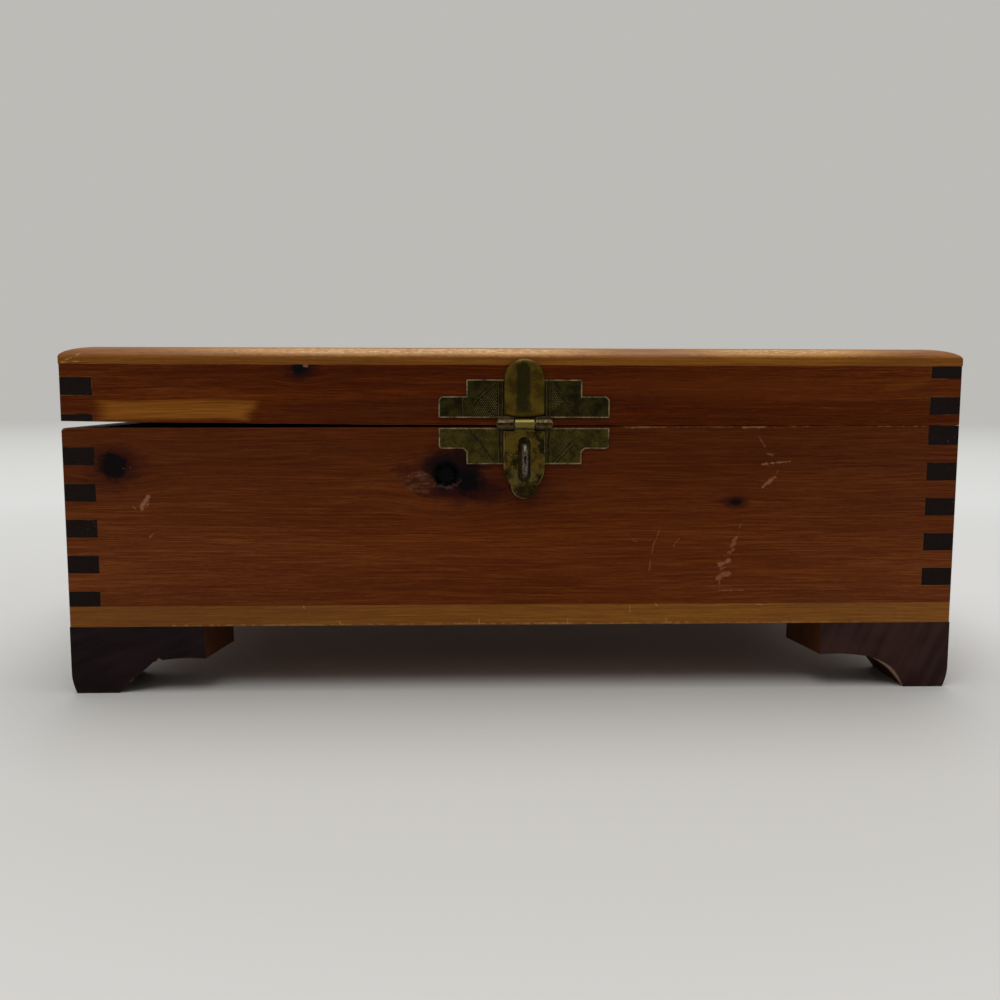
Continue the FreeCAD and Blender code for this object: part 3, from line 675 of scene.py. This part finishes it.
def top_marks(wood):
    """Painted highlights along the lid's upper edge, in paler patches and glints, and scuffs at its left
    corner.
    """
    # Painted highlight where the round-over catches the overhead lamp: paler patches, then glints.
    paler = wood.blend(wood.fibre, srgb(150, 98, 28), srgb(192, 138, 58))
    for x, wide in ((-42.0, 46.0), (0.0, 22.0), (78.0, 26.0)):
        wood.lay(wood.patch(x, 97.6, wide, 1.6, 0.35, 0.5), paler, 0.8)
    glints = wood.soft(wood.noise(wood.grain, (1.6, 0.4, 0.3), 2.0, 0.6, (4, 1, 7)), 0.5, 0.6)
    for x, wide in ((-40.0, 34.0), (-6.0, 20.0), (77.0, 17.0)):
        painted_glint = wood.least(glints, wood.patch(x, 97.7, wide, 0.8, 0.3, 0.6))
        wood.lay(painted_glint, srgb(228, 192, 142), 0.75, roughness=0.25)
    for scuff in (((-126.4, 93.9), (-124.6, 94.0)), ((-123.6, 94.1), (-121.3, 94.2)),
                  ((-124.9, 94.5), (-123.2, 95.2)), ((-122.4, 95.6), (-120.8, 96.5))):
        wood.lay(wood.stroke(scuff, 0.25, 0.48), srgb(206, 164, 106), 0.4, roughness=0.7)


def bottom_marks(wood):
    """The bottom board's bare underside, and the splinters and frayed stretches along its front edge."""
    underside = wood.soft(wood.split(wood.normal)[2], -0.5, -0.9)
    wood.lay(underside, wood.blend(wood.tone, *BARE), roughness=0.75)
    pale = srgb(188, 138, 86)
    for splinter in (((32.8, 24.6), (32.9, 22.6)), ((40.2, 25.1), (41.0, 24.5)), ((43.4, 21.0), (43.6, 19.6)),
                     ((14.9, 21.0), (14.8, 19.6)), ((-10.8, 21.2), (-10.6, 19.7)),
                     ((-50.8, 20.4), (-50.2, 19.6)), ((69.6, 24.9), (71.4, 24.7)),
                     ((-60.9, 25.2), (-60.7, 24.4))):
        wood.lay(wood.stroke(splinter, 0.17, 0.3), pale, 0.7, roughness=0.8)
    for start, end in ((-100.0, 100.0), (-32.0, -22.7), (-17.9, -9.5), (3.6, 16.7), (41.0, 47.0)):
        wood.lay(wood.stroke(((start, 19.65), (end, 19.6)), 0.3, 0.5), pale, 0.4, roughness=0.8)


LONG = ("front_board", "back_board", "lid_front_rail", "lid_back_rail")
SHORT = ("left_end_board", "right_end_board", "lid_left_rail", "lid_right_rail")
FLAT = ("bottom_board", "lid_top_board")
KNOTS = {
    "front_board": ((-113.3, 65.2, 3.2), (-19.0, 62.0, 4.4), (62.9, 54.8, 1.4)),
    "lid_front_rail": ((-60.0, 92.4, 2.4),),
}
MARKS = {"front_board": front_marks, "lid_front_rail": lid_marks, "lid_top_board": top_marks,
         "bottom_board": bottom_marks}
SHAPES = {"front_board": front_damage, "lid_front_rail": settled, "lid_back_rail": settled,
          "lid_right_rail": settled}
BOARD_EASE, GRAIN_DEPTH = 0.1, 0.03
for count, name in enumerate(LONG + SHORT + FLAT):
    tones = HONEY if name in FLAT else LID_RED if name.startswith("lid") else RED
    wood = cedar(name + "_cedar", tones, turned=name in SHORT, seed=count * 0.37, knots=KNOTS.get(name, ()),
                 end_tone=None if name in FLAT else END_GRAIN)
    wood.lay(wood.worn(), srgb(150, 96, 50), 0.5)
    if name in MARKS:
        MARKS[name](wood)
    bare_inside(wood, BARE)
    board = eased_copy(name, BOARD_EASE, SHAPES.get(name))
    board.data.materials.append(wood.close(GRAIN_DEPTH, specular=0.2 if name in FLAT else 0.05))

# %% [markdown]
# ## Feet
#
# The bracket feet are stained nearly black over a coarser wood whose streaks lean. The right front foot took
# less stain. Their sawn ends are a warmer brown, and a few small chips show pale wood. The slope of the
# right front foot was sawn hollow: planes cut it into strips, which are then drawn into the leg along an
# arc. Just behind the front face they are drawn in less, and this leaves an edge along the hollow. Faces
# that look down just behind the front of a foot are painted pale, as painted light bounced up from the
# floor; on the right front foot this is that edge.

# %% Hollow slope
HOLLOW, SHALLOWER, STRIPS = 1.8, 0.8, 12
EDGE_STEPS = (0.45, 0.9, 1.4)


def hollowed(bm):
    """Draws the slope of the right front foot into the leg along an arc."""
    low, high = Vector((114.1, 0, 0)), Vector((104.0, 0, 9.0))
    run = high - low
    inwards = Vector((run.z, 0, -run.x)).normalized()

    def share(v):
        return (v.co / MM - low).dot(run) / run.length_squared

    def on_slope(v):
        return abs((v.co / MM - low).dot(inwards)) < 0.3 and -0.02 < share(v) < 1.02

    cuts = [(low + run * step / STRIPS, run) for step in range(1, STRIPS)]
    cuts += [(Vector((0, front + deep, 0)), Vector((0, 1, 0))) for deep in EDGE_STEPS]
    for point, direction in cuts:
        slice_faces(bm, [f for f in bm.faces if all(on_slope(v) for v in f.verts)], point, direction)
    moved = [v for v in bm.verts if on_slope(v)]
    for v in moved:
        behind = min(max(v.co.y / MM - front, 0) / EDGE_STEPS[-1], 1)
        v.co += inwards * MM * (HOLLOW - SHALLOWER * behind) * sin(pi * min(max(share(v), 0), 1))
    print("points of the hollow slope:", len(moved))


# %% Feet
FOOT_STAINS = {
    "front_left_foot": (0.35, srgb(24, 17, 18), srgb(42, 29, 29)),
    "front_right_foot": (1.15, srgb(43, 27, 24), srgb(67, 44, 39)),
    "back_left_foot": (0.6, srgb(26, 18, 18), srgb(46, 32, 30)),
    "back_right_foot": (0.8, srgb(28, 19, 18), srgb(50, 34, 31)),
}
FOOT_EASE = 0.15
FOOT_CHIPS = {"front_left_foot": ((-87.3, 18.3, 0.9), (-102.2, 9.3, 0.7), (-109.8, 3.1, 0.8))}
for count, (name, (lean_angle, dark, light)) in enumerate(FOOT_STAINS.items()):
    wood = Finish(name + "_stain")
    turned = wood.add("Mapping", Vector=wood.mm, Rotation=(0, lean_angle, 0)).outputs[0]
    streaks = wood.noise(turned, (28, 5, 2.4), 2.0, 0.5, (count * 7.3, 0, 0))
    clouds = wood.noise(wood.mm, (16, 16, 9), 2.0, 0.5, (count * 3.1, 0, 0))
    tone = wood.soft(wood.total((streaks, 0.6), (clouds, 0.5)), 0.35, 0.75)
    wood.colour = wood.blend(tone, dark, light)
    wood.roughness = wood.soft(streaks, 0.3, 0.7, 0.45, 0.6)
    wood.height = streaks
    sawn = wood.soft(wood.calc("ABSOLUTE", wood.split(wood.normal)[0]), 0.6, 0.9)
    wood.lay(sawn, wood.blend(streaks, srgb(58, 30, 13), srgb(84, 48, 22)), roughness=0.65)
    wood.lay(wood.worn(), srgb(110, 76, 58), 0.45)
    # Painted light: faces that look down just behind the front are made pale, standing in for light bounced
    # up from the floor.
    under = wood.soft(wood.split(wood.normal)[2], -0.2, -0.5)
    broken = wood.least(under, wood.soft(wood.deep, front + 1.9, front + 1.2))
    ticks = wood.noise(turned, (0.5, 0.5, 0.5), 2.0)
    wood.lay(broken, wood.blend(ticks, srgb(112, 78, 64), srgb(196, 158, 136)), 0.85)
    for x, z, size in FOOT_CHIPS.get(name, ()):
        wood.lay(wood.patch(x, z, size, size * 0.8, 0.5, 0.3), srgb(150, 112, 90), 0.8)
    foot = eased_copy(name, FOOT_EASE, hollowed if name == "front_right_foot" else None)
    foot.data.materials.append(wood.close(GRAIN_DEPTH, specular=0.05))

# %% [markdown]
# ## Brass
#
# The hasp is stamped from thin brass that has gone dark olive. Where hands and the flap rub it, on the
# rims and the raised middle, the metal shows tan and gold. All finishes share one recipe: cloudy
# tarnish, fine specks, and a roughness that follows the tarnish.

# %% Metal finishes


def aged_metal(name, dark, light, rough, patch=2.2, balance=0.5, width=0.18, grit=0.5):
    """Metal with cloudy tarnish. Balance moves the border between the dark and the light patches."""
    metal = Finish(name)
    clouds = metal.noise(metal.mm, (patch, patch, patch), 4.0, 0.62)
    specks = metal.noise(metal.mm, (0.35, 0.35, 0.35), 2.0, 0.6)
    mottle = metal.total((clouds, 1.0), (specks, grit), (1.0, -grit / 2))
    share = metal.soft(mottle, balance - width, balance + width)
    metal.colour = metal.blend(share, dark, light)
    metal.roughness = metal.blend(share, rough + 0.2, rough)
    metal.height = mottle
    metal.specks, metal.rubbed = specks, share
    return metal


LID_PLATE_EDGE = 76.2
olive = aged_metal("olive_brass", srgb(40, 34, 10), srgb(72, 62, 22), 0.42, 3.0, width=0.2)
lid_olive = olive.blend(olive.rubbed, srgb(20, 19, 6), srgb(47, 42, 15))
olive.lay(olive.soft(olive.high, LID_PLATE_EDGE, LID_PLATE_EDGE + 1.4), lid_olive, 0.85)
rubbed = aged_metal("rubbed_brass", srgb(54, 45, 27), srgb(144, 124, 90), 0.34, 5.0)
# Lighter line brass goes on the ridges and stipple domes, partly rubbed metal and partly painted highlight;
# near-black shaded brass is painted shade beside the ridges and in the staple's slit.
lines = aged_metal("rubbed_and_lit_brass", srgb(58, 51, 27), srgb(98, 86, 50), 0.36)
shaded = aged_metal("shaded_brass", srgb(22, 21, 12), srgb(34, 32, 18), 0.5)
dull = aged_metal("dull_brass", srgb(48, 39, 23), srgb(98, 83, 55), 0.34, 1.2)
steel = aged_metal("grey_steel", srgb(54, 49, 40), srgb(115, 106, 92), 0.3, 0.7)
domed = aged_metal("domed_brass", srgb(55, 43, 9), srgb(93, 74, 20), 0.36, 4.5, grit=0.25)
rise = domed.calc("MAXIMUM", domed.calc("SUBTRACT", domed.high, 92.2), 0.0)
reach = domed.vector("LENGTH", domed.join(domed.calc("SUBTRACT", domed.along, 1.65), rise, 0.0))
reach = domed.total((reach, 1.0), (domed.noise(domed.mm, (1.2, 1.2, 1.8), 3.0, 0.6), 2.4), (1.0, -1.2))
groove = domed.least(domed.soft(reach, 2.5, 1.4), domed.soft(domed.high, 79.0, 81.5))
domed.lay(groove, domed.blend(domed.specks, srgb(17, 16, 5), srgb(48, 43, 15)), 0.92)
flapped = aged_metal("flap_brass", srgb(29, 23, 7), srgb(90, 71, 22), 0.36, 3.4, 0.5, 0.12, 0.25)
flapped.lay(flapped.soft(flapped.specks, 0.56, 0.66), srgb(128, 110, 54), 0.22)
flapped.lay(flapped.patch(2.0, 62.4, 3.8, 2.2, 0.6, 0.4), srgb(106, 92, 50), 0.5)
flapped.lay(flapped.patch(2.0, 58.2, 3.2, 2.2, 0.6, 0.4), srgb(28, 20, 8), 0.7)
flapped.lay(flapped.worn(), srgb(152, 132, 86), 0.9)
knuckle_tone = flapped.blend(flapped.specks, srgb(72, 63, 26), srgb(130, 116, 62))
flapped.lay(flapped.soft(flapped.high, 75.0, 75.6), knuckle_tone, roughness=0.26)
TARNISH = {"depth": 0.03, "metal": 0.8, "specular": 0.15}
HASP_METALS = [m.close(**TARNISH) for m in (olive, rubbed, lines, shaded, dull, domed)]
OLIVE, RUBBED, RUBBED_AND_LIT, SHADED, DULL, DOMED = range(len(HASP_METALS))
flap_brass = flapped.close(**TARNISH)
grey_steel = steel.close(**TARNISH)
print("metals:", [m.name for m in HASP_METALS])

# %% [markdown]
# ## Hasp plates
#
# Both plates are stamped sheets with stepped wings. Each starts as one flat face with the outline's corners.
# The corners are eased, the face is pushed out to the sheet's thickness and inset, so that a raised rim is
# left around a sunk field. The embossed lines are low ridges, and the stippled corners are rows of small
# domes; ridges and domes take a lighter brass that is partly rubbed metal and partly painted highlight, and
# a low dark strip beside each ridge is painted shade. The pieces are drawn flat, x to the right, y up and z
# towards the viewer, and one matrix puts them on the box.

# %% Hasp tools
AXIS_X, AXIS_Z = 2.0, 77.0
hasp_place = (Matrix.Scale(MM, 4) @ Matrix.Translation((AXIS_X, front, AXIS_Z))
              @ Matrix.Rotation(pi / 2, 4, "X"))
SHEET, FIELD = 0.6, 0.45


def place_piece(bm, name, body, materials, replaced, smooth=30):
    """Closes a hasp piece: normals outwards, in its place, riding on a body, in place of a CAD node."""
    bmesh.ops.recalc_face_normals(bm, faces=bm.faces)
    bmesh.ops.transform(bm, matrix=hasp_place, verts=bm.verts)
    piece = new_piece(bm, name, smooth)
    for material in materials:
        piece.data.materials.append(material)
    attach(piece, body)
    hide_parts(replaced)


def stamped_sheet(bm, corners, eased, rim=0.36, crest_ease=0.09):
    """A stamped plate, its rim raised around a field. Eased holds corner numbers, a width and steps."""
    verts = [bm.verts.new((x, y, 0)) for x, y in corners]
    bm.faces.new(verts)
    for numbers, width, segments in eased:
        bmesh.ops.bevel(bm, geom=[verts[i] for i in numbers], offset=width, offset_type="OFFSET",
                        segments=segments, profile=0.5, affect="VERTICES", material=-1)
    sheet = bmesh.ops.extrude_face_region(bm, geom=list(bm.faces), use_keep_orig=True)["geom"]
    top = [g for g in sheet if isinstance(g, bmesh.types.BMFace)]
    bmesh.ops.translate(bm, verts=[g for g in sheet if isinstance(g, bmesh.types.BMVert)], vec=(0, 0, SHEET))
    bmesh.ops.inset_region(bm, faces=top, thickness=rim, depth=FIELD - SHEET, use_even_offset=True,
                           use_boundary=True)
    for face in bm.faces:
        face.material_index = OLIVE if face in top else RUBBED
    crest = [e for e in bm.edges
             if min(v.co.z for v in e.verts) > FIELD + 0.01 and e.calc_face_angle(0) > 0.3]
    round_off(bm, crest, crest_ease)


def paint(verts, material):
    for face in {f for v in verts for f in v.link_faces}:
        face.material_index = material


def bar(bm, start, end, width, high, material):
    """A low bar on the field of a plate, narrower at its crest."""
    a, b = Vector(start), Vector(end)
    run, middle = b - a, (a + b) / 2
    turn = Matrix.Rotation(-Vector((1, 0)).angle_signed(run), 4, "Z")
    size = Matrix.Diagonal((run.length, width, 2 * high, 1))
    place = Matrix.Translation((middle.x, middle.y, FIELD)) @ turn @ size
    verts = bmesh.ops.create_cube(bm, size=1, matrix=place)["verts"]
    paint(verts, material)
    crest = [e for e in {e for v in verts for e in v.link_edges} if min(v.co.z for v in e.verts) > FIELD]
    round_off(bm, crest, high * 0.6, 1)


def embossed(bm, start, end, side=1.0):
    """An embossed line: a ridge of lighter brass, partly rubbed and partly painted highlight, with a low dark
    strip along one side as painted shade.
    """
    run = (Vector(end) - Vector(start)).normalized()
    shift = Vector((-run.y, run.x)) * 0.24 * side
    bar(bm, start, end, 0.18, 0.1, RUBBED_AND_LIT)
    bar(bm, Vector(start) + shift, Vector(end) + shift, 0.3, 0.03, SHADED)


def stipple(bm, triangles, pitch=0.56, radius=0.18):
    """Rows of small domes inside some triangles of the field."""
    count = 0
    for row in range(-30, 30):
        for step in range(-40, 40):
            spot = Vector(((step + 0.5 * (row % 2)) * pitch, row * pitch * 0.87))
            if any(intersect_point_tri_2d(spot, *[Vector(c) for c in corners]) for corners in triangles):
                place = Matrix.Translation((spot.x, spot.y, FIELD)) @ Matrix.Diagonal((1, 1, 0.7, 1))
                dome = bmesh.ops.create_icosphere(bm, subdivisions=1, radius=radius, matrix=place)
                # The domes take the lighter brass: partly rubbed metal, partly painted highlight.
                paint(dome["verts"], RUBBED_AND_LIT)
                count += 1
    return count


print("hasp axis at", AXIS_X, AXIS_Z)

# %% [markdown]
# ## Raised middle and knuckles
#
# The round-topped middle of the lid's plate is pressed out of the sheet. It is a stack of closed loops, from
# the foot of its wall to the floor of its groove, bridged one to the next. Each knuckle is a strip of the
# sheet rolled around the pin, so a small rectangle is spun most of a turn around the axis.

# %% Loops and rolls


def arch_loop(bm, half, low, high, depth, shift=0.0):
    """A closed loop with a half circle at the top and a nearly flat end below."""
    flatness = 0.22
    verts = bmesh.ops.create_circle(bm, segments=48, radius=half)["verts"]
    upper = [v for v in verts if v.co.y > -0.001]
    lower = [v for v in verts if v.co.y <= -0.001]
    bmesh.ops.scale(bm, verts=lower, vec=(1, flatness, 1))
    bmesh.ops.translate(bm, verts=lower, vec=(shift, low + flatness * half, depth))
    bmesh.ops.translate(bm, verts=upper, vec=(shift, high - half, depth))
    return list({e for v in verts for e in v.link_edges})


def stack_loops(bm, loops):
    """Skins a row of closed loops and closes both ends."""
    for first, second in zip(loops, loops[1:]):
        bmesh.ops.bridge_loops(bm, edges=first + second)
    for end in (loops[0], loops[-1]):
        bmesh.ops.edgeloop_fill(bm, edges=end)


KNUCKLE, BORE, PIN_REACH = 1.57, 0.74, 2.1


def rolled(bm, start, end, turn=335, first=100):
    """A strip rolled around the pin from start to end along x."""
    wall = KNUCKLE - BORE
    flat = Matrix.Translation(((start + end) / 2, 0, PIN_REACH)) @ Matrix.Rotation(radians(first), 4, "X")
    flat = flat @ Matrix.Translation((0, BORE + wall / 2, 0)) @ Matrix.Diagonal((end - start, wall, 1, 1))
    made = bmesh.ops.create_grid(bm, x_segments=1, y_segments=1, size=0.5, matrix=flat)["verts"]
    strip = made + list({e for v in made for e in v.link_edges})
    strip += list({f for v in made for f in v.link_faces})
    before = set(bm.faces)
    bmesh.ops.spin(bm, geom=strip, cent=(0, 0, PIN_REACH), axis=(1, 0, 0), angle=radians(turn), steps=28,
                   use_duplicate=False, use_merge=False)
    for face in (set(bm.faces) - before) | {f for v in made for f in v.link_faces}:
        face.material_index = DULL


# %% Lid plate
LID_START, LID_WING, LID_STEP = 1.73, 7.78, 12.48
WING, STEP = 24.1, 16.3
bm = bmesh.new()
outline = [(-WING, LID_START), (WING, LID_START), (WING, LID_WING), (STEP, LID_WING), (STEP, LID_STEP),
           (-STEP, LID_STEP), (-STEP, LID_WING), (-WING, LID_WING)]
stamped_sheet(bm, outline, [((2, 7), 0.9, 1), ((0, 1, 4, 5), 0.3, 2)])
for side in (-1, 1):
    for x in (6.2, 7.2):
        embossed(bm, (side * x, LID_START + 0.5), (side * x, LID_STEP - 0.5), side)
embossed(bm, (-14.3, 5.9), (-8.0, 11.6), -1)
embossed(bm, (7.6, 11.6), (12.6, 5.9), -1)
embossed(bm, (-17.3, LID_START + 0.5), (-17.3, LID_WING - 0.5))
dots = stipple(bm, [((-13.9, 5.6), (-7.8, 11.1), (-7.8, 2.4)), ((-13.9, 5.4), (-7.9, 2.3), (-14.4, 2.3)),
                    ((7.7, 11.0), (11.2, 6.4), (7.7, 3.6))])
base = set(bm.faces)
DOME, DOME_TOP, GROOVE, OFF = 5.75, 18.23, 1.95, -0.3
levels = [(0, 0, 0), (0, 0, 0.85), (0.12, 0.12, 1.15), (0.38, 0.38, 1.36), (0.85, 0.85, 1.49),
          (1.5, 1.1, 1.5)]
loops = [arch_loop(bm, DOME - inset, LID_START + low, DOME_TOP - inset, depth)
         for inset, low, depth in levels]
hollow = [(0.3, 1.5, 1.1, 1.46), (0.0, 2.4, 1.3, 1.3), (-0.5, 4.0, 1.8, 1.0), (-1.3, 6.5, 2.6, 0.85)]
loops += [arch_loop(bm, GROOVE + wide, LID_START + low, DOME_TOP - top, depth, OFF)
          for wide, low, top, depth in hollow]
stack_loops(bm, loops)
for face in set(bm.faces) - base:
    face.material_index = DOMED
INNER, OUTER = 3.1, 7.45
for side in (-1, 1):
    start, end = sorted((side * INNER, side * OUTER))
    rolled(bm, start, end)
    strap = Matrix.Translation(((start + end) / 2, 1.1, 0.5)) @ Matrix.Diagonal((end - start, 2.2, 0.9, 1))
    paint(bmesh.ops.create_cube(bm, size=1, matrix=strap)["verts"], DULL)
place_piece(bm, "hasp_lid_plate_stamped", "lid", HASP_METALS, "hasp_lid_plate")
print("stipple dots", dots)

# %% Body plate
BODY_START, BODY_WING, BODY_STEP = -1.07, -6.97, -11.32
TONGUE, TONGUE_END = 3.3, -16.92
bm = bmesh.new()
half = [(WING, BODY_START), (WING, BODY_WING), (STEP, BODY_WING), (STEP, BODY_STEP), (TONGUE, BODY_STEP),
        (TONGUE, TONGUE_END)]
outline = [(-x, y) for x, y in half] + half[::-1]
stamped_sheet(bm, outline, [((1, 10), 0.8, 2), ((2, 9), 0.9, 1), ((5, 6), 2.4, 5), ((3, 8), 0.35, 2)])
for side in (-1, 1):
    for x in (6.2, 7.2):
        embossed(bm, (side * x, BODY_START - 0.5), (side * x, BODY_STEP + 0.5), -side)
embossed(bm, (-15.6, -2.2), (-9.0, -10.5))
embossed(bm, (-14.6, -2.6), (-10.0, -8.6))
embossed(bm, (13.5, -4.5), (7.8, -10.5))
embossed(bm, (14.0, -5.4), (9.2, -10.5))
place_piece(bm, "hasp_body_plate_stamped", "body", HASP_METALS, "hasp_body_plate")

# %% [markdown]
# ## Flap, pin and staple
#
# The flap and the pin have their true outlines in the CAD model, so their copies only get soft edges.
# The staple is a wire: a circle pushed along two legs and turned through two bends. A worn slit runs along
# its crown.

# %% Flap and pin
FLAP_EASE, PIN_EASE, HINGE_EASE = 0.26, 0.1, 0.06
eased_copy("hasp_flap", FLAP_EASE).data.materials.append(flap_brass)
eased_copy("hasp_pin", PIN_EASE).data.materials.append(HASP_METALS[DULL])

# %% Staple
WIRE, BEND = 1.0, 2.2
LEG_LOW, LEG_HIGH = -14.6, -6.2
CROWN, LEG_END = 5.0, -6.0


def push(bm, verts, step):
    """Pushes the end ring of a wire one step on."""
    caps = [f for f in {f for v in verts for f in v.link_faces} if all(v in verts for v in f.verts)]
    first = len(bm.faces) == 1
    made = bmesh.ops.extrude_face_region(bm, geom=caps, use_keep_orig=True)["geom"]
    if not first:
        bmesh.ops.delete(bm, geom=caps, context="FACES_ONLY")
    ends = [g for g in made if isinstance(g, bmesh.types.BMVert)]
    bmesh.ops.translate(bm, verts=ends, vec=step)
    return ends


def turn_wire(bm, verts, centre, angle, steps=8):
    """Bends the wire on around a centre, about the x axis."""
    for _ in range(steps):
        verts = push(bm, verts, (0, 0, 0))
        bmesh.ops.rotate(bm, verts=verts, cent=centre, matrix=Matrix.Rotation(angle / steps, 3, "X"))
    return verts


bm = bmesh.new()
ring = bmesh.ops.create_circle(bm, cap_ends=True, segments=16, radius=WIRE,
                               matrix=Matrix.Translation((0, LEG_LOW, LEG_END)))["verts"]
ring = push(bm, ring, (0, 0, CROWN - BEND - LEG_END))
ring = turn_wire(bm, ring, (0, LEG_LOW + BEND, CROWN - BEND), -pi / 2)
straight = LEG_HIGH - LEG_LOW - 2 * BEND
for share in (0.42, 0.53, 0.05):
    ring = push(bm, ring, (0, share * straight, 0))
ring = turn_wire(bm, ring, (0, LEG_HIGH - BEND, CROWN - BEND), -pi / 2)
ring = push(bm, ring, (0, 0, LEG_END - CROWN + BEND))
slit_low = LEG_LOW + BEND + 0.4 * straight
slit = [f for f in bm.faces if f.calc_center_median().z > CROWN + 0.9 * WIRE
        and slit_low < f.calc_center_median().y < LEG_HIGH - BEND and f.calc_area() > 0.3]
bmesh.ops.inset_region(bm, faces=slit, thickness=0.12, depth=0.0, use_even_offset=True)
bmesh.ops.inset_region(bm, faces=slit, thickness=0.08, depth=-0.5, use_even_offset=True)
# The slit's faces take the shaded brass: painted shade inside the slit.
for face in slit:
    face.material_index = 1
print("slit faces", len(slit))
wire_metals = (grey_steel, HASP_METALS[SHADED])
place_piece(bm, "hasp_staple_wire", "body", wire_metals, "hasp_staple", smooth=40)

# %% [markdown]
# ## Hinges, screws and brads
#
# The two butt hinges at the back and their screws are copies with slightly eased edges, and the brads
# underneath keep their CAD shapes.

# %% Small fittings
BRADS = ("foot_brads", "bottom_brads")
for name, node in nodes.items():
    if node.hide_render:
        continue
    if name in BRADS:
        node.data.materials.clear()
        node.data.materials.append(grey_steel)
    else:
        eased_copy(name, HINGE_EASE).data.materials.append(HASP_METALS[DULL])
